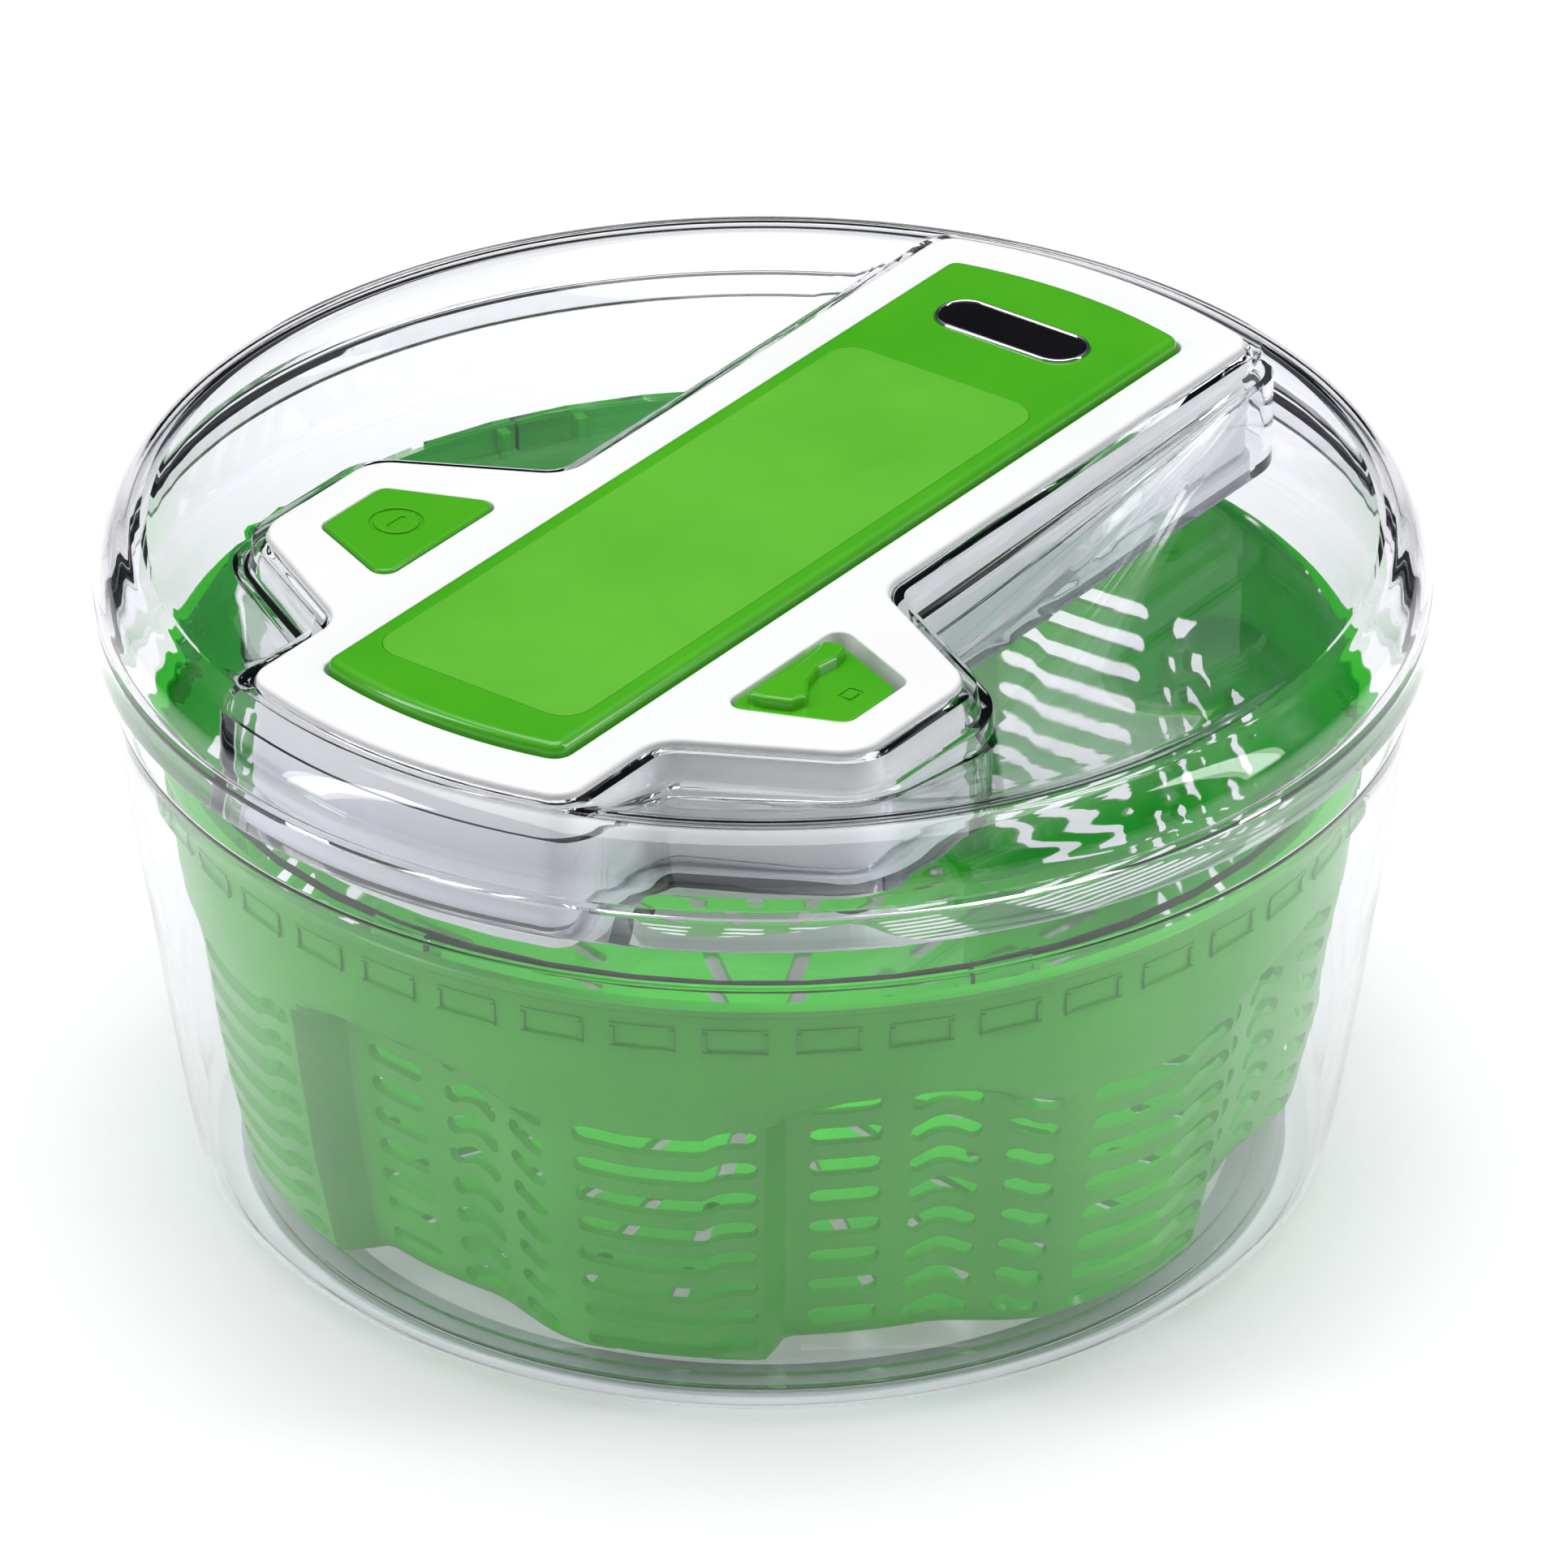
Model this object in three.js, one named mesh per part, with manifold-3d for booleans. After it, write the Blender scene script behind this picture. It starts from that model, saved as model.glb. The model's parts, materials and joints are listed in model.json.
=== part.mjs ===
// Lever salad spinner: bowl, slotted basket and a pump lid with a gear train, brake and lever lock.
// Millimetres, +Z up. The origin is on the spin axis at the level of the table.
// +X runs along the lever from its free end to its hinge, +Y is the side with the brake button.
import * as THREE from 'three';
import { mergeVertices } from 'three/addons/utils/BufferGeometryUtils.js';
import Module from 'manifold-3d';

const wasm = await Module();
wasm.setup();

const DEG = Math.PI / 180;
const ROUND = 44;

// ---------------------------------------------------------------- driving dimensions
const BOWL = {
  baseRadius: 106, cornerRadius: 8, foot: 1.2, wall: 2.4, shoulderRadius: 126.2, shoulderZ: 105,
  bandRadius: 127.3, bandZ: 106.5, topZ: 122, pinRadius: 3, pinZ: 8.4, flare: [[118.6, 42], [122.6, 70]],
};
const FOOT = { inner: 94, outer: 104 };
const LID = {
  radius: 130, edgeZ: 116, shoulderZ: 127, topRadius: 121.5, topZ: 138, wall: 2.2, windowRadius: 118.5,
  dishDepth: 22, lipGrow: 3.2, ledgeZ: 133, wallGrow: 6.5, floorZ: 112, floor: 2, seatZ: 122.3,
};
const FRAME = {
  halfWidth: 38, endRadius: 117.5, cornerRadius: 6, topZ: 139.3, plate: 2.3, wall: 2, bottomZ: 114.3,
  wellTop: 134.5, wellFloor: 1.5, earCentre: -48.5, earFoot: 35.5, earTip: 17, earReach: 72, earRadius: 9,
};
const LEVER = {
  halfWidth: 28, endRadius: 104.5, topZ: 141.5, bottomZ: 135.3, skin: 2, gap: 0.9, range: 22,
};
const HINGE = { x: 97, z: 137, tail: 8.3, pin: 1.5, pinHalf: 25.8, lug: 2.3 };
const BUTTON = { inner: 40.8, outer: 63, footHalf: 18.4, tipHalf: 9.3, gap: 0.5, corner: 2.6, flange: 1.6 };
const STOP = { x: -48.5, y: 52, topZ: 139.7, stem: 4, padTop: 106.15, padBottom: 103.6, collarZ: 119 };
const LOCK = { topZ: 138.8, finZ: 141.2, travel: 2.2 };
const GEAR = {
  module: 1.5, pressure: 25 * DEG, backlash: 0.42, addendum: 0.8, dedendum: 1.05,
  sector: 45, pinion: 10, idler: 44, drive: 34, crown: 16, crownPinion: 8, crownModule: 1, crownSlack: 0.2,
  z0: 107.9, z1: 110.9,
};
const HUB = {
  race: 10, shaft: 4, bore: 10.4, flange: 16, topZ: 121, roller: 1.5, rollerAt: 11.7, clipZ: 119.4,
};
const BASE = { z0: 105.3, z1: 107.3 };
const PLATE = { z0: 99.4, z1: 101.4, radius: 114.6, tabs: 6, tabWidth: 12, tabZ: 93 };
const POSTS = [[-98, 32.3], [-98, -32.3], [92, 32.3], [92, -32.3]];
const POST = { radius: 2.7, screw: 1.1, head: 2.5 };
const BADGE = { x: 82.5, length: 35, width: 12.5, deep: 1.2, rim: 0.9 };
const PAD = { x0: -92, x1: 59, halfWidth: 24, corner: 6, deep: 0.8 };
const SECTOR = { y0: -14.5, y1: -8.5, flangeZ: 135.8, flangeTop: 137.3, screwX: 76, screwY: [-17.3, -5.7] };
const BASKET = {
  lobes: 7, topZ: 98, floorZ: 9.4, wall: 1.8, rimRadius: 119, skirtZ: 86, topWall: 117.6, bottomWall: 104.8,
  pocket: 7.5, rows: 4, rowPitch: 15, firstRow: 21, slotHeight: 4, floorSlots: 8,
  turn: -5 * DEG, ribFrom: 112.5, ribWidth: 2.2, ribSpread: 8.4, ribLow: 91.5, ribHigh: 97.4,
};

// ---------------------------------------------------------------- finishes
function finish(name, colour, roughness, metalness, opacity = 1) {
  return new THREE.MeshStandardMaterial({
    name, color: colour, roughness, metalness, transparent: opacity < 1, opacity,
  });
}
const clearPlastic = () => finish('clear_plastic', 0xe9edf2, 0.06, 0, 0.35);
const tintedGreen = () => finish('tinted_green_plastic', 0x57b058, 0.18, 0, 0.7);
const leverGreen = () => finish('green_abs', 0x4bb02f, 0.22, 0);
const frostGreen = () => finish('frosted_green_tpe', 0x55b332, 0.55, 0);
const whiteAbs = () => finish('white_abs', 0xfafafa, 0.3, 0);
const acetal = () => finish('natural_acetal', 0xf0efe8, 0.42, 0);
const steel = () => finish('stainless_steel', 0xc9ccd0, 0.28, 1);
const chrome = () => finish('bright_chrome', 0xe3e5e8, 0.07, 1);
const blackGloss = () => finish('black_gloss', 0x151314, 0.14, 0);
const footRubber = () => finish('translucent_tpe', 0xf1f3f3, 0.5, 0);
const brakeRubber = () => finish('black_rubber', 0x232425, 0.8, 0);

// ---------------------------------------------------------------- solids
function signedVolume(position, index) {
  let sum = 0;
  const at = (i) => [position.getX(i), position.getY(i), position.getZ(i)];
  for (let t = 0; t < index.length; t += 3) {
    const [a, b, c] = [at(index[t]), at(index[t + 1]), at(index[t + 2])];
    sum += a[0] * (b[1] * c[2] - b[2] * c[1]);
    sum += a[1] * (b[2] * c[0] - b[0] * c[2]);
    sum += a[2] * (b[0] * c[1] - b[1] * c[0]);
  }
  return sum / 6;
}

// A closed geometry as a solid that faces outward, whichever way its outline was drawn.
function solid(geometry) {
  let g = geometry.clone();
  g.deleteAttribute('normal');
  g.deleteAttribute('uv');
  g = mergeVertices(g, 1e-4);
  const triVerts = Uint32Array.from(g.index.array);
  if (signedVolume(g.attributes.position, triVerts) < 0) {
    for (let t = 0; t < triVerts.length; t += 3) {
      [triVerts[t + 1], triVerts[t + 2]] = [triVerts[t + 2], triVerts[t + 1]];
    }
  }
  const vertProperties = Float32Array.from(g.attributes.position.array);
  return new wasm.Manifold(new wasm.Mesh({ numProp: 3, vertProperties, triVerts }));
}

function geometryOf(body) {
  const mesh = body.getMesh();
  const g = new THREE.BufferGeometry();
  g.setAttribute('position', new THREE.BufferAttribute(Float32Array.from(mesh.vertProperties), 3));
  g.setIndex(Array.from(mesh.triVerts));
  g.computeVertexNormals();
  return g;
}

const union = (bodies) => bodies.reduce((all, next) => all.add(next));

// A closed [radius, z] outline turned about the Z axis.
function turned(profile, segments = ROUND) {
  const points = profile.map(([r, z]) => new THREE.Vector2(r, z));
  const clearOfAxis = profile[0][0] > 1e-6 || profile.at(-1)[0] > 1e-6;
  if (clearOfAxis) points.push(points[0].clone());
  return solid(new THREE.LatheGeometry(points, segments).rotateX(Math.PI / 2));
}

function prism(outline, z0, z1, holes = []) {
  const shape = new THREE.Shape(outline.map(([x, y]) => new THREE.Vector2(x, y)));
  holes.forEach((hole) => shape.holes.push(new THREE.Path(hole.map(([x, y]) => new THREE.Vector2(x, y)))));
  return solid(new THREE.ExtrudeGeometry(shape, { depth: z1 - z0, bevelEnabled: false }).translate(0, 0, z0));
}

function box(x0, x1, y0, y1, z0, z1) {
  const g = new THREE.BoxGeometry(x1 - x0, y1 - y0, z1 - z0);
  return solid(g.translate((x0 + x1) / 2, (y0 + y1) / 2, (z0 + z1) / 2));
}

function cylinderZ(radius, z0, z1, x = 0, y = 0, segments = 32) {
  const g = new THREE.CylinderGeometry(radius, radius, z1 - z0, segments).rotateX(Math.PI / 2);
  return solid(g.translate(x, y, (z0 + z1) / 2));
}

// An outline drawn in X and Z, as thick as the span from y0 to y1.
function prismY(outline, y0, y1) {
  const shape = new THREE.Shape(outline.map(([x, z]) => new THREE.Vector2(x, z)));
  const g = new THREE.ExtrudeGeometry(shape, { depth: y1 - y0, bevelEnabled: false });
  return solid(g.translate(0, 0, -y1).rotateX(Math.PI / 2));
}

function cylinderY(radius, y0, y1, x, z, segments = 24) {
  const g = new THREE.CylinderGeometry(radius, radius, y1 - y0, segments);
  return solid(g.translate(x, (y0 + y1) / 2, z));
}

// ---------------------------------------------------------------- outlines
// Moves every edge of a counter-clockwise outline outward and joins the edges again.
function grown(corners, distance) {
  return corners.map(([x, y, r = 0], i) => {
    const [px, py] = corners[(i + corners.length - 1) % corners.length];
    const [nx, ny] = corners[(i + 1) % corners.length];
    const inLength = Math.hypot(x - px, y - py);
    const outLength = Math.hypot(nx - x, ny - y);
    const a = [(y - py) / inLength, -(x - px) / inLength];
    const b = [(ny - y) / outLength, -(nx - x) / outLength];
    const scale = distance / (1 + a[0] * b[0] + a[1] * b[1]);
    const convex = a[0] * b[1] - a[1] * b[0] > 0;
    const radius = r > 0 ? Math.max(0.6, r + (convex ? distance : -distance)) : 0;
    return [x + (a[0] + b[0]) * scale, y + (a[1] + b[1]) * scale, radius];
  });
}

// Replaces each [x, y, radius] corner by an arc that touches both of its edges.
function rounded(corners, steps = 4) {
  const points = [];
  corners.forEach(([x, y, r = 0], i) => {
    if (r <= 0) {
      points.push([x, y]);
      return;
    }
    const before = corners[(i + corners.length - 1) % corners.length];
    const after = corners[(i + 1) % corners.length];
    const u = new THREE.Vector2(before[0] - x, before[1] - y).normalize();
    const v = new THREE.Vector2(after[0] - x, after[1] - y).normalize();
    const half = Math.acos(THREE.MathUtils.clamp(u.dot(v), -1, 1)) / 2;
    const centre = u.clone().add(v).normalize().multiplyScalar(r / Math.sin(half));
    const start = u.clone().multiplyScalar(r / Math.tan(half)).sub(centre);
    const sweep = (Math.PI - 2 * half) * (u.cross(v) > 0 ? -1 : 1);
    for (let k = 0; k <= steps; k += 1) {
      const p = start.clone().rotateAround(new THREE.Vector2(), (sweep * k) / steps);
      points.push([x + centre.x + p.x, y + centre.y + p.y]);
    }
  });
  return points;
}

function circle(radius, segments = 32, x = 0, y = 0) {
  return Array.from({ length: segments }, (_, i) => {
    const a = (i * 2 * Math.PI) / segments;
    return [x + radius * Math.cos(a), y + radius * Math.sin(a)];
  });
}

// A strip along X whose two ends are arcs about the spin axis.
function stripCorners(halfWidth, endRadius, corner, arcSteps = 5) {
  const half = Math.asin(halfWidth / endRadius);
  const end = (middle) => Array.from({ length: arcSteps + 1 }, (_, i) => {
    const a = middle + half * ((2 * i) / arcSteps - 1);
    const atCorner = i === 0 || i === arcSteps;
    return [endRadius * Math.cos(a), endRadius * Math.sin(a), atCorner ? corner : 0];
  });
  return [...end(0), ...end(Math.PI)];
}

// The outline of the white frame: a strip with an ear for a button on each side.
function bridgeOutline(growth = 0, steps = 3) {
  const strip = stripCorners(FRAME.halfWidth, FRAME.endRadius, FRAME.cornerRadius);
  const half = strip.length / 2;
  const ear = (side) => [
    [FRAME.earCentre + side * FRAME.earFoot, side * FRAME.halfWidth, FRAME.earRadius],
    [FRAME.earCentre + side * FRAME.earTip, side * FRAME.earReach, FRAME.earRadius],
    [FRAME.earCentre - side * FRAME.earTip, side * FRAME.earReach, FRAME.earRadius],
    [FRAME.earCentre - side * FRAME.earFoot, side * FRAME.halfWidth, FRAME.earRadius],
  ];
  const corners = [...strip.slice(0, half), ...ear(1), ...strip.slice(half), ...ear(-1)];
  return rounded(grown(corners, growth), steps);
}

function leverOutline(growth = 0) {
  return rounded(grown(stripCorners(LEVER.halfWidth, LEVER.endRadius, 3), growth), 3);
}

function buttonOutline(side, growth = 0, shorter = 0) {
  const mid = FRAME.earCentre;
  const corners = [
    [mid - BUTTON.footHalf, BUTTON.inner, BUTTON.corner],
    [mid + BUTTON.footHalf - shorter, BUTTON.inner, BUTTON.corner],
    [mid + BUTTON.tipHalf - shorter, BUTTON.outer, BUTTON.corner],
    [mid - BUTTON.tipHalf, BUTTON.outer, BUTTON.corner],
  ];
  const outline = rounded(grown(corners, growth), 3);
  return side > 0 ? outline : outline.map(([x, y]) => [x, -y]).reverse();
}

// ---------------------------------------------------------------- gears
// Half of the angle a tooth takes at a radius, for an involute flank thinned by the backlash.
function toothHalfAngle(teeth, module, radius) {
  const pitch = (teeth * module) / 2;
  const inv = (a) => Math.tan(a) - a;
  const base = pitch * Math.cos(GEAR.pressure);
  const here = Math.acos(Math.min(1, base / Math.max(radius, base)));
  const thickness = (Math.PI * module) / 2 - GEAR.backlash / 2;
  return thickness / (2 * pitch) + inv(GEAR.pressure) - inv(here);
}

function gearOutline(teeth, module, first, count, flank = 2) {
  const pitch = (teeth * module) / 2;
  const root = pitch - GEAR.dedendum * module;
  const tip = pitch + GEAR.addendum * module;
  const points = [];
  for (let i = 0; i < count; i += 1) {
    const middle = first + (i * 2 * Math.PI) / teeth;
    const radii = Array.from({ length: flank }, (_, k) => root + ((tip - root) * k) / (flank - 1));
    radii.forEach((r) => points.push([r, middle - toothHalfAngle(teeth, module, r)]));
    [...radii].reverse().forEach((r) => points.push([r, middle + toothHalfAngle(teeth, module, r)]));
  }
  return points.map(([r, a]) => [r * Math.cos(a), r * Math.sin(a)]);
}

const gearPitch = (teeth) => (teeth * GEAR.module) / 2;
const gearSpan = gearPitch(GEAR.idler) + gearPitch(GEAR.drive);
const sectorSpan = gearPitch(GEAR.sector) + gearPitch(GEAR.pinion);
const SHAFT = { x: gearSpan, z: HINGE.z - Math.sqrt(sectorSpan ** 2 - (HINGE.x - gearSpan) ** 2) };
const meshAngle = Math.atan2(HINGE.z - SHAFT.z, HINGE.x - SHAFT.x);
const crownPitch = (GEAR.crown * GEAR.crownModule) / 2;
const crownPinionPitch = (GEAR.crownPinion * GEAR.crownModule) / 2;

// ---------------------------------------------------------------- bowl
function bowl() {
  const b = BOWL;
  const corner = (radius, steps, reach) => Array.from({ length: steps + 1 }, (_, i) => {
    const a = -Math.PI / 2 + ((Math.PI / 2 - 0.14) * i) / steps;
    return [reach + radius * Math.cos(a), b.foot + b.cornerRadius + radius * Math.sin(a)];
  });
  const outer = corner(b.cornerRadius, 3, b.baseRadius);
  const inner = corner(b.cornerRadius - b.wall, 2, b.baseRadius).reverse();
  const profile = [
    [0, b.foot],
    ...outer,
    ...b.flare,
    [b.shoulderRadius, b.shoulderZ], [b.bandRadius, b.bandZ], [b.bandRadius, b.topZ],
    [b.bandRadius - b.wall, b.topZ], [b.bandRadius - b.wall, b.bandZ],
    [b.shoulderRadius - b.wall, b.shoulderZ],
    ...b.flare.map(([r, z]) => [r - b.wall, z]).reverse(),
    ...inner,
    [b.pinRadius + 0.3, b.foot + b.wall], [b.pinRadius, b.pinZ - 1.4],
    [b.pinRadius - 1.2, b.pinZ], [0, b.pinZ],
  ];
  return turned(profile);
}

function footRing() {
  const profile = [
    [FOOT.inner, 0], [FOOT.outer, 0], [FOOT.outer, BOWL.foot - 0.05], [FOOT.inner, BOWL.foot - 0.05],
  ];
  return turned(profile);
}

// ---------------------------------------------------------------- basket
// The wall stands proud in seven panels and drops back into seven pockets between them.
function basketRadius(angle, z) {
  const b = BASKET;
  const rise = THREE.MathUtils.clamp((z - b.floorZ) / (b.skirtZ - b.floorZ), 0, 1);
  const plain = THREE.MathUtils.lerp(b.bottomWall, b.topWall, rise);
  const phase = THREE.MathUtils.euclideanModulo(((angle - b.turn) * b.lobes) / (2 * Math.PI), 1);
  const sharp = THREE.MathUtils.smoothstep(phase, 0.3, 0.4);
  const gradual = 1 - THREE.MathUtils.smoothstep(phase, 0.72, 1);
  const depth = 1 - THREE.MathUtils.smoothstep(rise, 0.72, 0.96);
  return plain - b.pocket * sharp * gradual * depth;
}

function basketShell(inset, z0, z1) {
  const positions = [];
  const index = [];
  const heights = [0, 0.45, 0.84, 1];
  const phases = [0, 0.15, 0.3, 0.4, 0.56, 0.72, 0.86];
  const levels = heights.length - 1;
  const segments = phases.length * BASKET.lobes;
  for (let k = 0; k <= levels; k += 1) {
    const z = z0 + (z1 - z0) * heights[k];
    for (let i = 0; i < segments; i += 1) {
      const turn = Math.floor(i / phases.length) + phases[i % phases.length];
      const a = BASKET.turn + (turn * 2 * Math.PI) / BASKET.lobes;
      const r = basketRadius(a, z) - inset;
      positions.push(r * Math.cos(a), r * Math.sin(a), z);
    }
  }
  positions.push(0, 0, z0, 0, 0, z1);
  const low = (levels + 1) * segments;
  for (let i = 0; i < segments; i += 1) {
    const j = (i + 1) % segments;
    for (let k = 0; k < levels; k += 1) {
      const [lower, upper] = [k * segments, (k + 1) * segments];
      const [a, b, c, d] = [lower + i, lower + j, upper + j, upper + i];
      index.push(a, b, c, a, c, d);
    }
    index.push(low, j, i, low + 1, levels * segments + i, levels * segments + j);
  }
  const g = new THREE.BufferGeometry();
  g.setAttribute('position', new THREE.Float32BufferAttribute(positions, 3));
  g.setIndex(index);
  return solid(g);
}

function basketSlots() {
  const b = BASKET;
  const cutters = [];
  const columns = [{ at: 0.14, width: 26 }, { at: 0.57, width: 17 }];
  for (let lobe = 0; lobe < b.lobes; lobe += 1) {
    columns.forEach(({ at, width }) => {
      for (let row = 0; row < b.rows; row += 1) {
        const z = b.firstRow + row * b.rowPitch - (at > 0.5 ? 3 : 0);
        const slot = new THREE.BoxGeometry(24, width, b.slotHeight).translate(106, 0, z);
        slot.rotateZ(b.turn + ((lobe + at) * 2 * Math.PI) / b.lobes);
        cutters.push(solid(slot));
      }
    });
  }
  return union(cutters);
}

// Two short ribs stand beside every tab of the drive plate, which turns the basket by them.
function basketRibs() {
  const b = BASKET;
  const ribs = [];
  for (let i = 0; i < PLATE.tabs; i += 1) {
    [-1, 1].forEach((side) => {
      const rib = new THREE.BoxGeometry(b.topWall - 1 - b.ribFrom, b.ribWidth, b.ribHigh - b.ribLow);
      rib.translate((b.topWall - 1 + b.ribFrom) / 2, side * b.ribSpread, (b.ribHigh + b.ribLow) / 2);
      ribs.push(solid(rib.rotateZ((i * 2 * Math.PI) / PLATE.tabs)));
    });
  }
  return union(ribs);
}

function basket() {
  const b = BASKET;
  const wallOuter = basketShell(0, b.floorZ, b.topZ);
  const wallInner = basketShell(b.wall, b.floorZ + b.wall, b.topZ + 1);
  const rim = turned([
    [b.topWall - b.wall, b.topZ - 2], [b.rimRadius, b.topZ - 2],
    [b.rimRadius, b.topZ], [b.topWall - b.wall, b.topZ],
  ]);
  const cup = turned([[3.7, 4.6], [6.2, 4.6], [6.2, b.floorZ + 0.4], [3.7, b.floorZ + 0.4]], 24);
  const floorSlots = Array.from({ length: b.floorSlots }, (_, i) => {
    const slot = new THREE.BoxGeometry(44, 4, 6).translate(56, 0, b.floorZ + 1);
    return solid(slot.rotateZ((i * 2 * Math.PI) / b.floorSlots));
  });
  const body = wallOuter.subtract(wallInner).subtract(basketSlots()).subtract(union(floorSlots));
  return body.add(rim).add(cup).add(basketRibs());
}

// ---------------------------------------------------------------- lid shell
// The ball whose lower cap is the dish of both windows, with its skin moved out by a thickness.
function dishBall(thickness) {
  const rim = LID.windowRadius;
  const radius = (rim ** 2 + LID.dishDepth ** 2) / (2 * LID.dishDepth);
  const centreZ = LID.topZ - LID.dishDepth + radius;
  const reach = Math.asin((rim + 12) / radius);
  const steps = 4;
  const cap = Array.from({ length: steps + 1 }, (_, i) => {
    const a = (reach * i) / steps;
    return [(radius + thickness) * Math.sin(a), centreZ - (radius + thickness) * Math.cos(a)];
  });
  return turned([...cap, [cap.at(-1)[0], LID.topZ + 20], [0, LID.topZ + 20]], 40);
}

function lidShell() {
  const l = LID;
  const outerProfile = [
    [0, l.edgeZ], [l.radius, l.edgeZ], [l.radius, l.shoulderZ],
    [l.radius - 0.9, 131.4], [l.radius - 3.3, 135.2],
    [l.topRadius + 1.6, 137.4], [l.topRadius - 1, l.topZ], [0, l.topZ],
  ];
  const innerProfile = [
    [0, l.floorZ - 12], [l.radius - l.wall, l.floorZ - 12], [l.radius - l.wall, l.seatZ],
    [l.radius - l.wall - 4.4, l.seatZ], [l.radius - l.wall - 4.4, 129],
    [l.topRadius - 1.4, l.topZ - l.wall - 1.2], [l.topRadius - 4, l.topZ - l.wall], [0, l.topZ - l.wall],
  ];
  const pan = cylinderZ(l.windowRadius, 90, 160, 0, 0, ROUND);
  const panSkin = cylinderZ(l.windowRadius + l.wall - 0.6, 90, 160, 0, 0, ROUND);
  const wallPrism = prism(bridgeOutline(l.wallGrow), 80, 170);
  const hollow = pan.subtract(wallPrism).intersect(dishBall(0));
  const ledge = cylinderZ(l.windowRadius, l.ledgeZ, 160, 0, 0, ROUND).intersect(wallPrism)
    .subtract(prism(bridgeOutline(l.lipGrow), 80, 170)).intersect(dishBall(0));
  const windowSkin = panSkin.subtract(prism(bridgeOutline(l.wallGrow - l.wall), 80, 170))
    .intersect(dishBall(l.wall));
  const curb = prism(bridgeOutline(l.wallGrow - 0.3), l.floorZ, 170);
  const under = turned(innerProfile).subtract(windowSkin).subtract(curb);
  const well = prism(bridgeOutline(l.wallGrow - l.wall), l.floorZ + l.floor, l.ledgeZ);
  const throat = prism(bridgeOutline(0.4), l.ledgeZ - 1, 170);
  const floorHole = prism(bridgeOutline(-1.2), 80, l.ledgeZ);
  const body = turned(outerProfile).add(prism(bridgeOutline(l.wallGrow), l.floorZ, l.edgeZ + 1));
  return body.subtract(hollow).subtract(ledge).subtract(under).subtract(well).subtract(throat)
    .subtract(floorHole);
}

// ---------------------------------------------------------------- frame
function shaftHanger(y0, y1) {
  const web = box(SHAFT.x - 5, SHAFT.x + 5, y0, y1, SHAFT.z - 4, FRAME.wellTop - 0.5);
  return web.subtract(cylinderY(1.6, y0 - 1, y1 + 1, SHAFT.x, SHAFT.z, 16));
}

function hingeLug(y0) {
  const foot = box(HINGE.x - 14, HINGE.x, y0, y0 + 3, HINGE.z - 4.5, HINGE.z + HINGE.lug);
  return foot.add(cylinderY(HINGE.lug, y0, y0 + 3, HINGE.x, HINGE.z, 20))
    .subtract(cylinderY(HINGE.pin + 0.1, y0 - 1, y0 + 4, HINGE.x, HINGE.z, 16));
}

function frame() {
  const f = FRAME;
  const outside = prism(bridgeOutline(0), f.bottomZ, f.topZ);
  const hollow = prism(bridgeOutline(-f.wall), f.bottomZ - 1, f.topZ - f.plate);
  const wellOutside = prism(leverOutline(LEVER.gap + 1.6), f.wellTop - f.wellFloor, f.topZ - 0.5);
  const wellInside = prism(leverOutline(LEVER.gap), f.wellTop, f.topZ + 1);
  const pocketSide = LEVER.halfWidth + LEVER.gap;
  const pocketHalf = [[90, 0], [90, pocketSide], [103.2, pocketSide], [104.5, 20], [105.6, 9.5], [105.6, 0]];
  const pocketMirror = pocketHalf.slice(1, -1).reverse().map(([x, y]) => [x, -y]);
  const hingePocket = prism([...pocketHalf, ...pocketMirror].reverse(), 120, f.topZ + 1);
  const posts = POSTS.map(([x, y]) => cylinderZ(POST.radius, f.bottomZ - 2, f.topZ - 1, x, y, 12));
  const pilotHole = ([x, y]) => cylinderZ(POST.screw + 0.1, f.bottomZ - 3, f.bottomZ + 12, x, y, 8);
  const pilotHoles = POSTS.map(pilotHole);
  const boss = cylinderZ(8.5, 116, f.wellTop - 0.5, 0, 0, 20);
  const bossHollow = cylinderZ(6.8, 119, f.wellTop - f.wellFloor, 0, 0, 20);
  const shaftHole = cylinderZ(HUB.shaft + 0.25, 110, 125, 0, 0, 16);
  const sectorSlot = box(55, HINGE.x, SECTOR.y0 - 1.2, SECTOR.y1 + 1.2, 126, f.wellTop + 0.01);
  const latchSlot = box(-56, -42, -32, -27, f.wellTop + 0.2, f.topZ - f.plate);
  let body = outside.subtract(hollow).add(wellOutside).add(union(posts)).add(boss);
  body = body.add(shaftHanger(-20, -16)).add(shaftHanger(6, 10)).subtract(wellInside);
  body = body.subtract(hingePocket).add(hingeLug(18)).add(hingeLug(-21));
  [1, -1].forEach((side) => {
    body = body.subtract(prism(buttonOutline(side, BUTTON.gap), 120, 150));
  });
  return body.subtract(union(pilotHoles)).subtract(bossHollow).subtract(shaftHole).subtract(sectorSlot)
    .subtract(latchSlot);
}

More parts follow.
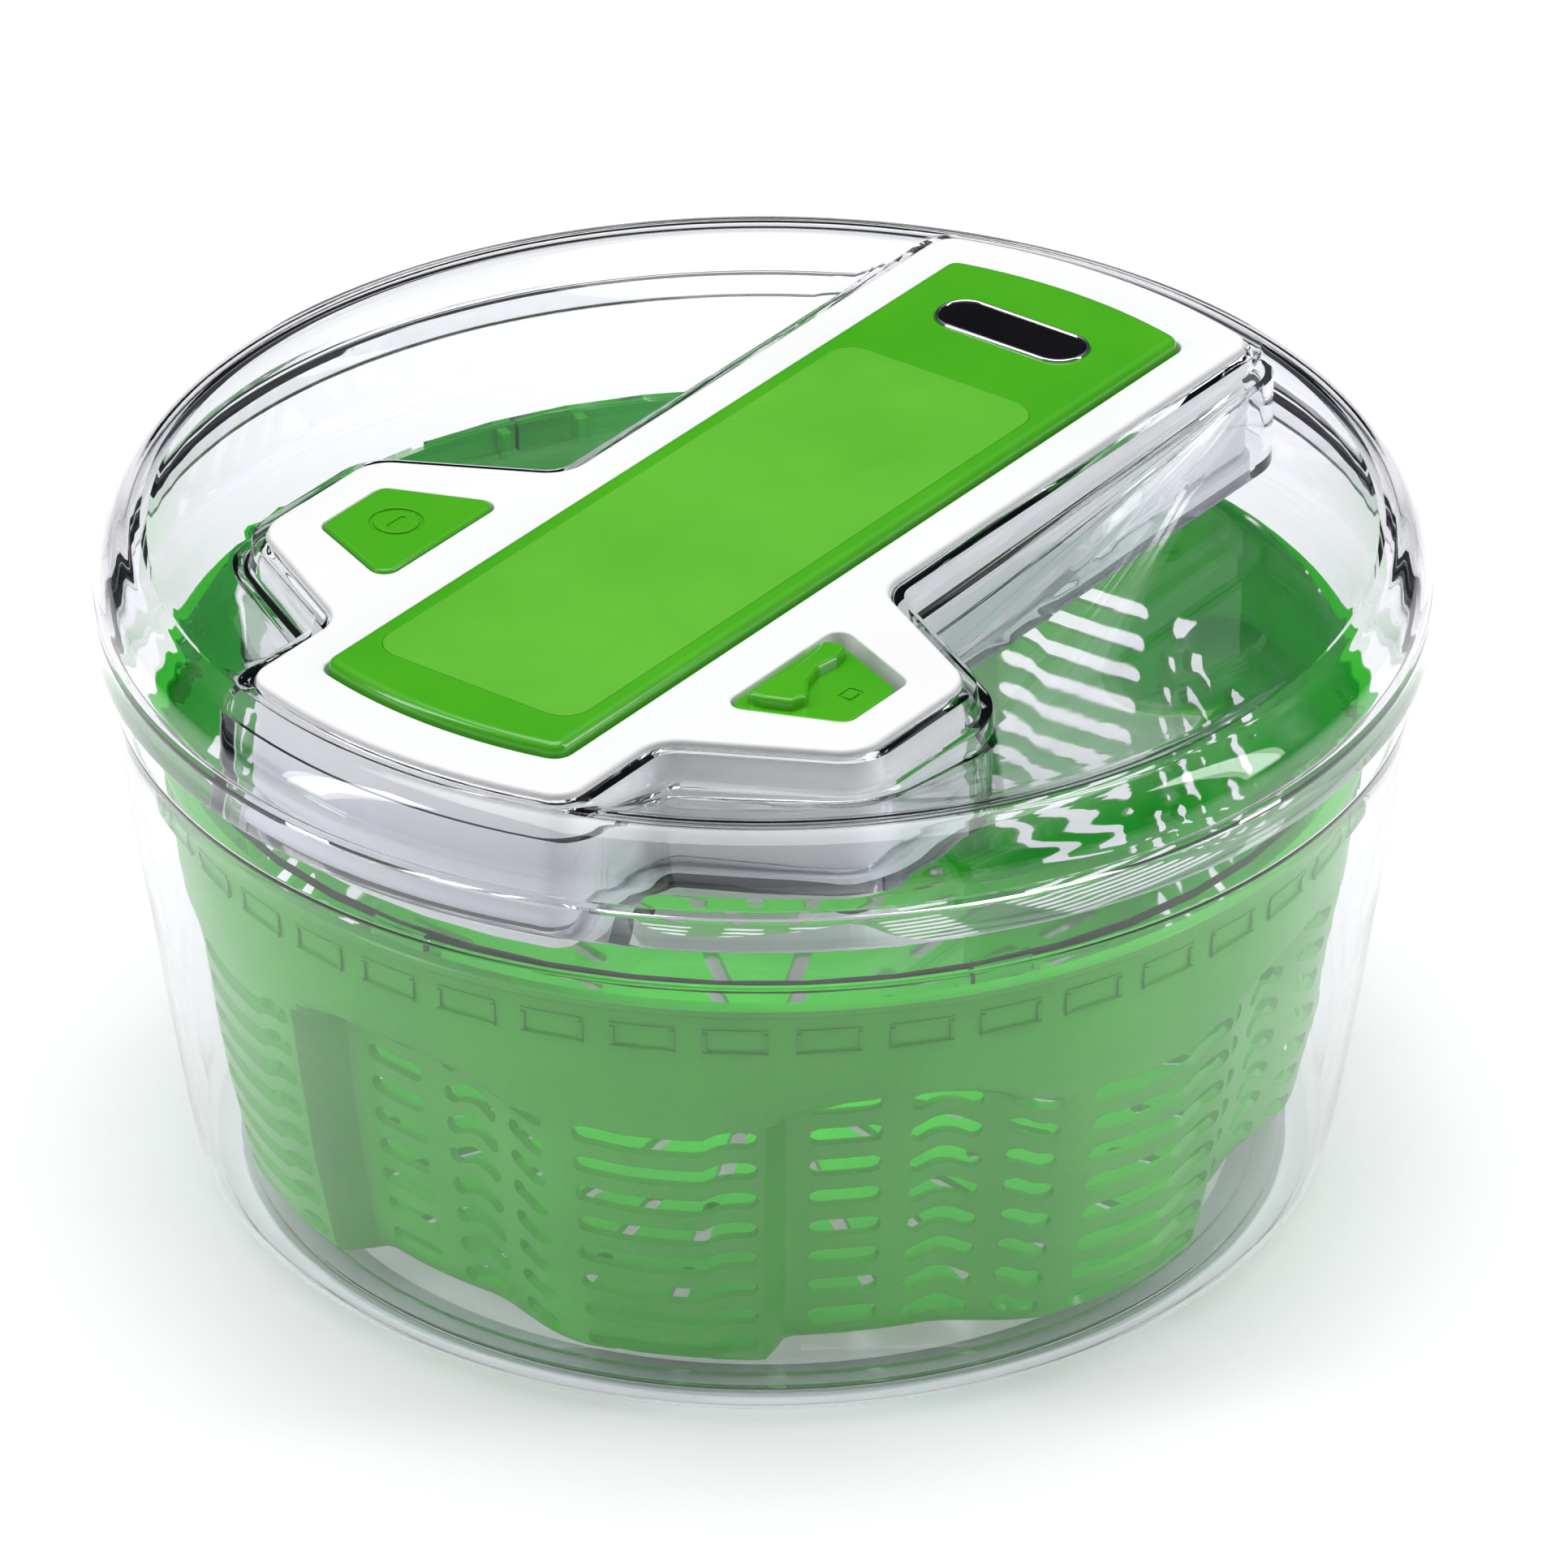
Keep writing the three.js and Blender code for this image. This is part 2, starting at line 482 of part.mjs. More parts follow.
function gearboxBase() {
  const flange = prism(bridgeOutline(1.2), BASE.z0 + 3.6, LID.floorZ - 0.25);
  const tray = prism(bridgeOutline(-1.5), BASE.z0, LID.floorZ - 0.25);
  const room = prism(bridgeOutline(-3.3), BASE.z1, LID.floorZ + 1);
  const posts = POSTS.map(([x, y]) => cylinderZ(POST.radius, BASE.z1 - 0.5, FRAME.bottomZ - 2.2, x, y, 12));
  const holes = POSTS.map(([x, y]) => cylinderZ(POST.screw + 0.3, BASE.z0 - 1, FRAME.bottomZ, x, y, 10));
  const heads = POSTS.map(([x, y]) => cylinderZ(POST.head + 0.3, BASE.z0 - 1, BASE.z0 + 1.6, x, y, 14));
  const guide = cylinderZ(STOP.stem + 2.2, BASE.z1 - 0.5, 112, STOP.x, STOP.y, 24);
  let body = flange.add(tray).subtract(room).add(union(posts)).add(guide);
  body = body.subtract(union(holes)).subtract(union(heads));
  body = body.subtract(cylinderZ(HUB.bore, BASE.z0 - 1, BASE.z1 + 1, 0, 0, 40));
  body = body.subtract(cylinderZ(1.55, BASE.z0 + 0.6, BASE.z1 + 1, SHAFT.x, 0, 16));
  return body.subtract(cylinderZ(STOP.stem + 0.3, BASE.z0 - 1, 120, STOP.x, STOP.y, 24));
}

// A pan-head screw pointing up, with a cross recess in its head.
function screw(x, y, headZ, headHeight, headRadius, shankRadius, tipZ) {
  const head = cylinderZ(headRadius, headZ, headZ + headHeight, x, y, 14);
  const shank = cylinderZ(shankRadius, headZ + 0.4, tipZ, x, y, 8);
  const recess = [0, 1].map((i) => {
    const bar = new THREE.BoxGeometry(headRadius * 1.2, 0.5, 0.9).rotateZ((i * Math.PI) / 2);
    return solid(bar.translate(x, y, headZ));
  });
  return head.add(shank).subtract(union(recess));
}

function gearboxScrew([x, y]) {
  return screw(x, y, BASE.z0 + 0.3, 1.2, POST.head, POST.screw, FRAME.bottomZ + 9);
}

// ---------------------------------------------------------------- lever
function padOutline(growth = 0) {
  const corners = [
    [PAD.x0, -PAD.halfWidth, PAD.corner], [PAD.x1, -PAD.halfWidth, PAD.corner],
    [PAD.x1, PAD.halfWidth, PAD.corner], [PAD.x0, PAD.halfWidth, PAD.corner],
  ];
  return rounded(grown(corners, growth), 4);
}

function badgeOutline(growth = 0) {
  const [halfX, halfY] = [BADGE.width / 2, BADGE.length / 2];
  const r = halfX - 0.2;
  const corners = [
    [BADGE.x - halfX, -halfY, r], [BADGE.x + halfX, -halfY, r],
    [BADGE.x + halfX, halfY, r], [BADGE.x - halfX, halfY, r],
  ];
  return rounded(grown(corners, growth), 6);
}

function lever() {
  const l = LEVER;
  const aheadOfPin = box(-130, HINGE.x, -40, 40, 100, 160);
  const tail = cylinderY(HINGE.tail, -40, 40, HINGE.x, HINGE.z, 64).add(aheadOfPin);
  const outside = prism(leverOutline(0), l.bottomZ, l.topZ).intersect(tail);
  const tailInside = cylinderY(HINGE.tail - l.skin, -40, 40, HINGE.x, HINGE.z, 48);
  const inside = prism(leverOutline(-l.skin), l.bottomZ - 1, l.topZ - l.skin)
    .intersect(tailInside.add(aheadOfPin));
  const knuckle = (y0) => box(HINGE.x - 4, HINGE.x + 3, y0, y0 + 3, HINGE.z - 2.6, l.topZ - 1)
    .subtract(cylinderY(HINGE.pin + 0.25, y0 - 1, y0 + 4, HINGE.x, HINGE.z, 16));
  const boss = (y) => cylinderZ(2.4, SECTOR.flangeTop + 0.1, l.topZ - 1, SECTOR.screwX, y, 16)
    .subtract(cylinderZ(1, SECTOR.flangeTop, l.topZ - 1.6, SECTOR.screwX, y, 12));
  const bosses = union(SECTOR.screwY.map(boss));
  const body = outside.subtract(inside).add(knuckle(22.4)).add(knuckle(-25.4)).add(bosses);
  return body.subtract(prism(padOutline(0.05), l.topZ - PAD.deep, l.topZ + 1))
    .subtract(prism(badgeOutline(0.1), l.topZ - BADGE.deep, l.topZ + 1));
}

function gripPad() {
  return prism(padOutline(), LEVER.topZ - PAD.deep + 0.05, LEVER.topZ + 0.1);
}

function badgeBezel() {
  const z0 = LEVER.topZ - BADGE.deep + 0.05;
  const opening = prism(badgeOutline(-BADGE.rim), z0 - 1, LEVER.topZ + 2);
  return prism(badgeOutline(), z0, LEVER.topZ + 0.5).subtract(opening);
}

function badgePlate() {
  return prism(badgeOutline(-BADGE.rim - 0.05), LEVER.topZ - BADGE.deep + 0.05, LEVER.topZ + 0.3);
}

// The toothed sector hangs from the lever by two screws and turns about the same pin.
function gearSector() {
  const pitch = (2 * Math.PI) / GEAR.sector;
  const start = Math.PI + meshAngle - pitch;
  const count = Math.ceil((LEVER.range * DEG) / pitch) + 2;
  const teeth = gearOutline(GEAR.sector, GEAR.module, start, count, 3);
  const top = SECTOR.flangeTop - HINGE.z;
  const outline = [...teeth, [-2.4, -3.4], [3.4, -2.4], [3.4, 2.4], [-2, top], [-29.4, top]];
  const plate = prismY(outline.map(([x, z]) => [x + HINGE.x, z + HINGE.z]), SECTOR.y0, SECTOR.y1);
  const flange = box(SECTOR.screwX - 6, SECTOR.screwX + 6, SECTOR.screwY[0] - 2.6, SECTOR.screwY[1] + 2.6,
    SECTOR.flangeZ, SECTOR.flangeTop);
  const holes = SECTOR.screwY.map((y) => cylinderZ(1.1, 130, 140, SECTOR.screwX, y, 12));
  return plate.add(flange).subtract(union(holes))
    .subtract(cylinderY(HINGE.pin + 0.25, SECTOR.y0 - 1, SECTOR.y1 + 1, HINGE.x, HINGE.z, 16));
}

function sectorScrew(y) {
  return screw(SECTOR.screwX, y, SECTOR.flangeZ - 0.85, 0.8, 2, 0.85, LEVER.topZ - 2);
}

function hingePin() {
  return cylinderY(HINGE.pin, -HINGE.pinHalf, HINGE.pinHalf, HINGE.x, HINGE.z, 20);
}

// A round wire along a curve.
function wire(curve, radius, steps, sides = 6) {
  const shape = new THREE.Shape(circle(radius, sides).map(([x, y]) => new THREE.Vector2(x, y)));
  return solid(new THREE.ExtrudeGeometry(shape, { extrudePath: curve, steps, bevelEnabled: false }));
}

// Coil about the hinge pin: one leg lies under the lever, the other on the frame.
function leverSpring() {
  const turns = 3;
  const [x, z, coil, y0] = [HINGE.x, HINGE.z, 1.98, 9];
  const points = [new THREE.Vector3(x - 14, y0, z + coil)];
  for (let i = 0; i <= turns * 8; i += 1) {
    const a = Math.PI / 2 - (i * Math.PI) / 4;
    const y = y0 + (i * 6) / (turns * 8);
    points.push(new THREE.Vector3(x + coil * Math.cos(a), y, z + coil * Math.sin(a)));
  }
  points.push(new THREE.Vector3(x - 11, 15.2, z - 1.6));
  return wire(new THREE.CatmullRomCurve3(points, false, 'centripetal'), 0.28, 52, 4);
}

// ---------------------------------------------------------------- gear train
function crossShaft() {
  return cylinderY(1.5, -20.4, 10.4, SHAFT.x, SHAFT.z, 16);
}

function crownGear() {
  const phase = Math.PI / GEAR.pinion + meshAngle;
  const pinion = gearOutline(GEAR.pinion, GEAR.module, phase, GEAR.pinion, 4)
    .map(([x, z]) => [x + SHAFT.x, z + SHAFT.z]);
  const face = -crownPinionPitch - GEAR.dedendum;
  const disc = cylinderY(crownPitch + 1.4, face - 2.2, face, SHAFT.x, SHAFT.z, 32);
  const slope = Math.tan(GEAR.pressure);
  const half = Math.PI / 4 - GEAR.crownSlack;
  const depth = GEAR.dedendum + GEAR.addendum;
  const side = [
    [-half - GEAR.dedendum * slope, -0.3], [half + GEAR.dedendum * slope, -0.3],
    [half - GEAR.addendum * slope, depth], [-half + GEAR.addendum * slope, depth],
  ];
  const teeth = Array.from({ length: GEAR.crown }, (_, i) => {
    const shape = new THREE.Shape(side.map(([x, y]) => new THREE.Vector2(x, y)));
    const g = new THREE.ExtrudeGeometry(shape, { depth: 2.6, bevelEnabled: false });
    g.translate(0, face, crownPitch - 1.2).rotateY(Math.PI + (i * 2 * Math.PI) / GEAR.crown);
    return solid(g.translate(SHAFT.x, 0, SHAFT.z));
  });
  const hub = cylinderY(3.4, SECTOR.y1 - 0.5, face - 1, SHAFT.x, SHAFT.z, 20);
  return prismY(pinion, SECTOR.y0 - 0.5, SECTOR.y1 + 0.5).add(hub).add(disc).add(union(teeth))
    .subtract(cylinderY(1.65, -30, 20, SHAFT.x, SHAFT.z, 16));
}

function idlerShaft() {
  return cylinderZ(1.5, BASE.z0 + 0.65, 117.4, SHAFT.x, 0, 16);
}

function idlerGear() {
  const phase = Math.PI / GEAR.idler;
  const outline = gearOutline(GEAR.idler, GEAR.module, phase, GEAR.idler, 2)
    .map(([x, y]) => [x + SHAFT.x, y]);
  const pinionPhase = -Math.PI / 2 + Math.PI / GEAR.crownPinion;
  const pinion = gearOutline(GEAR.crownPinion, GEAR.crownModule, pinionPhase, GEAR.crownPinion, 4);
  const rim = prism(outline, GEAR.z0, GEAR.z1);
  const upper = prism(pinion.map(([x, y]) => [x + SHAFT.x, y]), GEAR.z1 - 0.5, 115.8);
  const windows = Array.from({ length: 4 }, (_, i) => {
    const a = ((i + 0.5) * Math.PI) / 2;
    return cylinderZ(8, 100, 120, SHAFT.x + 18.5 * Math.cos(a), 18.5 * Math.sin(a), 12);
  });
  return rim.subtract(union(windows)).add(upper).subtract(cylinderZ(1.65, 100, 120, SHAFT.x, 0, 16));
}

function rollerPlace(i) {
  const a = (i * 2 * Math.PI) / 3;
  return [HUB.rollerAt * Math.cos(a), HUB.rollerAt * Math.sin(a)];
}

function driveGear() {
  const rim = prism(gearOutline(GEAR.drive, GEAR.module, 0, GEAR.drive, 2), GEAR.z0, GEAR.z1);
  const pockets = [0, 1, 2].map((i) => cylinderZ(HUB.roller + 0.35, 100, 120, ...rollerPlace(i), 16));
  return rim.subtract(cylinderZ(HUB.race + 0.5, 100, 120, 0, 0, 40)).subtract(union(pockets));
}

function clutchRoller(i) {
  return cylinderZ(HUB.roller - 0.05, GEAR.z0 + 0.2, GEAR.z1 - 0.2, ...rollerPlace(i), 16);
}

function driveHub() {
  const profile = [
    [1.2, PLATE.z1 + 0.05], [HUB.flange, PLATE.z1 + 0.05], [HUB.flange, PLATE.z1 + 2],
    [HUB.race - 0.4, PLATE.z1 + 2], [HUB.race - 0.4, BASE.z1 + 0.2], [HUB.race, BASE.z1 + 0.4],
    [HUB.race, GEAR.z1 + 0.4], [HUB.shaft, GEAR.z1 + 0.4],
    [HUB.shaft, HUB.clipZ], [HUB.shaft - 0.9, HUB.clipZ], [HUB.shaft - 0.9, HUB.clipZ + 0.9],
    [HUB.shaft, HUB.clipZ + 0.9], [HUB.shaft, HUB.topZ], [0, HUB.topZ], [0, 109.5], [1.2, 109.5],
  ];
  return turned(profile, 20);
}

// The open side of the clip lets it be pushed onto its groove.
function hubClip() {
  const ring = turned([[3.2, 0], [6, 0], [6, 0.7], [3.2, 0.7]], 32).translate([0, 0, HUB.clipZ + 0.1]);
  return ring.subtract(box(0, 8, -2, 2, 115, 125));
}

function drivePlate() {
  const p = PLATE;
  const disc = turned([[1.4, p.z0], [p.radius, p.z0], [p.radius, p.z1], [1.4, p.z1]]);
  const tabs = Array.from({ length: p.tabs }, (_, i) => {
    const tab = new THREE.BoxGeometry(2, p.tabWidth, p.z0 - p.tabZ + 0.5);
    tab.translate(p.radius - 1.6, 0, (p.z0 + 0.5 + p.tabZ) / 2).rotateZ((i * 2 * Math.PI) / p.tabs);
    return solid(tab);
  });
  return disc.add(union(tabs));
}

function plateScrew() {
  return screw(0, 0, PLATE.z0 - 1.35, 1.3, 3.6, 1.1, 108.5);
}

// ---------------------------------------------------------------- brake and lock
function stopButton() {
  const cap = prism(buttonOutline(1), STOP.topZ - 3.3, STOP.topZ);
  const flange = prism(buttonOutline(1, BUTTON.flange), STOP.topZ - 4.6, STOP.topZ - 3.2);
  const stem = cylinderZ(STOP.stem, STOP.padTop + 0.05, STOP.topZ - 4, STOP.x, STOP.y, 24);
  const collar = cylinderZ(STOP.stem + 3, STOP.collarZ, STOP.collarZ + 1.4, STOP.x, STOP.y, 24);
  return cap.add(flange).add(stem).add(collar).subtract(stopSign(STOP.topZ - 0.3));
}

// A barred circle, sunk into the button, says stop without a word.
function stopSign(z0) {
  const [x, y] = [STOP.x, STOP.y];
  const ring = prism(circle(5.4, 20, x, y), z0, z0 + 1, [circle(4.4, 20, x, y).reverse()]);
  return ring.add(box(x - 2.6, x + 2.6, y - 0.8, y + 0.8, z0, z0 + 1));
}

function brakePad() {
  return cylinderZ(STOP.stem - 0.1, STOP.padBottom, STOP.padTop, STOP.x, STOP.y, 24);
}

class Helix extends THREE.Curve {
  constructor(x, y, z0, z1, radius, turns) {
    super();
    Object.assign(this, { x, y, z0, z1, radius, turns });
  }

  getPoint(t, target = new THREE.Vector3()) {
    const a = t * this.turns * 2 * Math.PI;
    const z = this.z0 + (this.z1 - this.z0) * t;
    return target.set(this.x + this.radius * Math.cos(a), this.y + this.radius * Math.sin(a), z);
  }
}

function stopSpring() {
  return wire(new Helix(STOP.x, STOP.y, 112.6, STOP.collarZ - 0.6, 5.3, 4), 0.45, 36, 4);
}

function lockFin() {
  const inner = new THREE.CatmullRomCurve3([
    [-63.6, -42.4], [-58, -43.6], [-50, -44.6], [-42, -44], [-37, -42.4], [-34.2, -41.8],
  ].map(([x, y]) => new THREE.Vector3(x, y, 0)));
  const outer = new THREE.CatmullRomCurve3([
    [-36, -48.2], [-40, -48.6], [-46, -47.8], [-52, -49.2], [-57, -53], [-60.5, -52],
  ].map(([x, y]) => new THREE.Vector3(x, y, 0)));
  const outline = [...inner.getPoints(12), ...outer.getPoints(12)].map((p) => [p.x, p.y]);
  return prism(outline, LOCK.topZ - 0.5, LOCK.finZ);
}

function lockSlider() {
  const cap = prism(buttonOutline(-1, 0, LOCK.travel + 0.6), LOCK.topZ - 3, LOCK.topZ);
  const flange = prism(buttonOutline(-1, BUTTON.flange, LOCK.travel + 0.6), LOCK.topZ - 4, LOCK.topZ - 2.6);
  const arm = box(-54, -47, -42, -28.5, FRAME.wellTop + 0.4, FRAME.wellTop + 2.1);
  return cap.add(flange).add(arm).add(lockFin());
}

// ---------------------------------------------------------------- assembly
function node(parent, name, body, material) {
  const mesh = new THREE.Mesh(geometryOf(body), material);
  mesh.name = name;
  parent.add(mesh);
}

const spinner = new THREE.Group();
spinner.name = 'salad_spinner';

node(spinner, 'bowl', bowl(), clearPlastic());
node(spinner, 'foot_ring', footRing(), footRubber());
node(spinner, 'basket', basket(), tintedGreen());
node(spinner, 'lid_shell', lidShell(), clearPlastic());
node(spinner, 'mechanism_frame', frame(), whiteAbs());
node(spinner, 'gearbox_base', gearboxBase(), whiteAbs());
POSTS.forEach((place, i) => node(spinner, `gearbox_screw_${i + 1}`, gearboxScrew(place), steel()));
node(spinner, 'hinge_pin', hingePin(), steel());
node(spinner, 'lever', lever(), leverGreen());
node(spinner, 'grip_pad', gripPad(), frostGreen());
node(spinner, 'badge_bezel', badgeBezel(), chrome());
node(spinner, 'badge_plate', badgePlate(), blackGloss());
node(spinner, 'gear_sector', gearSector(), acetal());
SECTOR.screwY.forEach((y, i) => node(spinner, `sector_screw_${i + 1}`, sectorScrew(y), steel()));
node(spinner, 'lever_spring', leverSpring(), steel());
node(spinner, 'cross_shaft', crossShaft(), steel());
node(spinner, 'crown_gear', crownGear(), acetal());
node(spinner, 'idler_shaft', idlerShaft(), steel());
node(spinner, 'idler_gear', idlerGear(), acetal());
node(spinner, 'drive_gear', driveGear(), acetal());
[0, 1, 2].forEach((i) => node(spinner, `clutch_roller_${i + 1}`, clutchRoller(i), steel()));
node(spinner, 'drive_hub', driveHub(), acetal());
node(spinner, 'hub_clip', hubClip(), steel());
node(spinner, 'drive_plate', drivePlate(), clearPlastic());
node(spinner, 'plate_screw', plateScrew(), steel());
node(spinner, 'stop_button', stopButton(), leverGreen());
node(spinner, 'brake_pad', brakePad(), brakeRubber());
node(spinner, 'stop_spring', stopSpring(), steel());
node(spinner, 'lock_slider', lockSlider(), leverGreen());

export default spinner;
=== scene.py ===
# %% [markdown]
# # Lever salad spinner
# A clear bowl, a slotted green basket, and a clear lid with a white bridge that holds the pump lever.
# The CAD model gives every size and every moving body. This notebook builds the fine surfaces
# that the eye sees and rides each of them on the body it belongs to.

# %% Load the frame
import json
import math

import bmesh
import bpy
import numpy as np
from mathutils import Matrix, Vector, geometry


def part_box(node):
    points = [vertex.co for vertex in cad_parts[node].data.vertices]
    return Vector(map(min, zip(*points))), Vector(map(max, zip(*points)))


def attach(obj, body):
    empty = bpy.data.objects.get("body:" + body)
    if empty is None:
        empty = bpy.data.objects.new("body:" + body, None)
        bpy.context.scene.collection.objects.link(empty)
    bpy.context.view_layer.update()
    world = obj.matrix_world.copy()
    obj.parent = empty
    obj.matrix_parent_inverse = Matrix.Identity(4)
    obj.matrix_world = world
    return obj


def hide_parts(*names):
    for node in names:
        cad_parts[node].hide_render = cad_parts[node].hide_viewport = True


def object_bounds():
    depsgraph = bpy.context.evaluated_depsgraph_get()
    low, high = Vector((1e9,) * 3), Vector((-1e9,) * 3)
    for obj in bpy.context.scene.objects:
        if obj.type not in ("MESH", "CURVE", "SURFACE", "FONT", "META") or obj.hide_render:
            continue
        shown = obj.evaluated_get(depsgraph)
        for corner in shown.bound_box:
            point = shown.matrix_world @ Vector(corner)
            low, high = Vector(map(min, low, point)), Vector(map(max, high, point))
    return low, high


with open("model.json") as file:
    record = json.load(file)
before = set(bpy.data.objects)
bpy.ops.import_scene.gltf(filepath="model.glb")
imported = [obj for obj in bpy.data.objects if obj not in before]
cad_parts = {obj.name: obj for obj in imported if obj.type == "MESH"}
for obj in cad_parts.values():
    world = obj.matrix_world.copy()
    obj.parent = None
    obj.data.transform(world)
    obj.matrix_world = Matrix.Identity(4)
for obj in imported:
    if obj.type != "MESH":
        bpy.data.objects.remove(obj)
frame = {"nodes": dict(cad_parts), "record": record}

cad_low, cad_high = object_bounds()
print("CAD box", [round(v, 4) for v in cad_low], [round(v, 4) for v in cad_high])

# %% [markdown]
# ## Sizes
# The pieces are drawn in millimetres, and `MM` turns them to metres. Heights and outer sizes come
# from the CAD boxes where a box tells them, so that the fine surfaces lie where the solid pieces
# lie. A box can't tell an outline, a fillet or a wall, so those numbers repeat the CAD drawing's
# own. Lights and camera are placed in metres.

# %% Measure the CAD pieces
MM = 0.001


def reach(node, side, axis):
    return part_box(node)[side][axis] / MM


LID_RADIUS = reach("lid_shell", 1, 0)
LID_TOP = reach("lid_shell", 1, 2)
LID_EDGE = LID_TOP - 22
BOWL_TOP = reach("bowl", 1, 2)
BOWL_BOTTOM = reach("bowl", 0, 2)
FRAME_TOP = reach("mechanism_frame", 1, 2)
FRAME_BOTTOM = reach("gearbox_base", 1, 2) + 2.5
LEVER_TOP = reach("lever", 1, 2)
LEVER_BOTTOM = LEVER_TOP - 6.2
BASKET_TOP = reach("basket", 1, 2)
BASKET_FLOOR = reach("basket", 0, 2) + 4.8
EAR_X = (reach("stop_button", 0, 0) + reach("stop_button", 1, 0)) / 2
BRIDGE_HALF, BRIDGE_END = 38, 117.5
EAR_HALF, EAR_TIP_HALF, EAR_REACH, EAR_CORNER = 35.5, 17, 72, 9
LEVER_HALF, LEVER_END = 28, 104.5
BUTTON_NEAR, BUTTON_FAR, BUTTON_WIDE, BUTTON_NARROW, BUTTON_CORNER = 40.8, 63, 18.4, 9.3, 2.6
print("lid", LID_RADIUS, LID_TOP, "lever top", LEVER_TOP, "ear", round(EAR_X, 2))

# %% [markdown]
# ## Outlines
# Every moulded piece on the lid is a plan outline with round corners. An outline is a list of
# `(x, y, radius)` corners. `grown` moves all its edges outward, and `rounded` turns each corner
# into an arc. An outline keeps its number of points at every growth, so two of them can be
# joined by a plain strip of faces: that is how a fillet or a sloping wall is made.

# %% Outline helpers


def grown(corners, distance):
    out = []
    for i, (x, y, r) in enumerate(corners):
        px, py, _ = corners[i - 1]
        nx, ny, _ = corners[(i + 1) % len(corners)]
        la, lb = math.hypot(x - px, y - py), math.hypot(nx - x, ny - y)
        a = ((y - py) / la, -(x - px) / la)
        b = ((ny - y) / lb, -(nx - x) / lb)
        k = distance / (1 + a[0] * b[0] + a[1] * b[1])
        convex = a[0] * b[1] - a[1] * b[0] > 0
        radius = max(0.3, r + (distance if convex else -distance)) if r > 0 else 0
        out.append((x + (a[0] + b[0]) * k, y + (a[1] + b[1]) * k, radius))
    return out


def rounded(corners, steps):
    points = []
    for i, (x, y, r) in enumerate(corners):
        if r <= 0:
            points.append((x, y))
            continue
        u = Vector((corners[i - 1][0] - x, corners[i - 1][1] - y)).normalized()
        after = corners[(i + 1) % len(corners)]
        v = Vector((after[0] - x, after[1] - y)).normalized()
        half = math.acos(max(-1, min(1, u.dot(v)))) / 2
        centre = (u + v).normalized() * (r / math.sin(half))
        start = u * (r / math.tan(half)) - centre
        turn = (math.pi - 2 * half) * (-1 if u.x * v.y - u.y * v.x > 0 else 1)
        for k in range(steps + 1):
            p = Matrix.Rotation(turn * k / steps, 2) @ start
            points.append((x + centre.x + p.x, y + centre.y + p.y))
    return points


def strip_corners(half_width, end_radius, corner, arc_steps):
    half = math.asin(half_width / end_radius)
    out = []
    for middle in (0, math.pi):
        for i in range(arc_steps + 1):
            a = middle + half * (2 * i / arc_steps - 1)
            r = corner if i in (0, arc_steps) else 0
            out.append((end_radius * math.cos(a), end_radius * math.sin(a), r))
    return out


def bridge(growth=0.0):
    strip = strip_corners(BRIDGE_HALF, BRIDGE_END, 6, 16)
    n = len(strip) // 2
    ears = []
    for s in (1, -1):
        ears.append([
            (EAR_X + s * EAR_HALF, s * BRIDGE_HALF, EAR_CORNER),
            (EAR_X + s * EAR_TIP_HALF, s * EAR_REACH, EAR_CORNER),
            (EAR_X - s * EAR_TIP_HALF, s * EAR_REACH, EAR_CORNER),
            (EAR_X - s * EAR_HALF, s * BRIDGE_HALF, EAR_CORNER),
        ])
    return rounded(grown(strip[:n] + ears[0] + strip[n:] + ears[1], growth), 10)


def lever_plan(growth=0.0):
    return rounded(grown(strip_corners(LEVER_HALF, LEVER_END, 3, 14), growth), 6)


def button_plan(side, growth=0.0, shorter=0.0):
    corners = [
        (EAR_X - BUTTON_WIDE, BUTTON_NEAR, BUTTON_CORNER),
        (EAR_X + BUTTON_WIDE - shorter, BUTTON_NEAR, BUTTON_CORNER),
        (EAR_X + BUTTON_NARROW - shorter, BUTTON_FAR, BUTTON_CORNER),
        (EAR_X - BUTTON_NARROW, BUTTON_FAR, BUTTON_CORNER),
    ]
    points = rounded(grown(corners, growth), 6)
    return points if side > 0 else [(x, -y) for x, y in points][::-1]


def box_plan(x0, x1, y0, y1, r, growth=0.0, steps=8):
    return rounded(grown([(x0, y0, r), (x1, y0, r), (x1, y1, r), (x0, y1, r)], growth), steps)


def circle(radius, count, x=0.0, y=0.0):
    turns = [2 * math.pi * i / count for i in range(count)]
    return [(x + radius * math.cos(a), y + radius * math.sin(a)) for a in turns]


print("bridge outline points", len(bridge()), len(bridge(5)))

# %% [markdown]
# ## Building a closed surface
# `Surface` collects points and faces. `ring` lays an outline at a height, `strip` joins two rings,
# and `fill` closes a ring with triangles and leaves holes open. The triangles come from a Delaunay
# triangulation, which keeps every outline edge. A flat face gets one extra ring just inside its
# rounded edge, so that the shading of the fillet doesn't bleed over the flat.

# %% Surface helper


def inside(points, polygon):
    p, q = np.array(points, float), np.array(polygon, float)
    n = np.roll(q, -1, axis=0)
    x, y = p[:, 0:1], p[:, 1:2]
    crosses = (q[:, 1] > y) != (n[:, 1] > y)
    rise = np.where(n[:, 1] == q[:, 1], 1e-12, n[:, 1] - q[:, 1])
    at = (n[:, 0] - q[:, 0]) * (y - q[:, 1]) / rise + q[:, 0]
    return (np.sum(crosses & (x < at), axis=1) % 2).astype(bool)


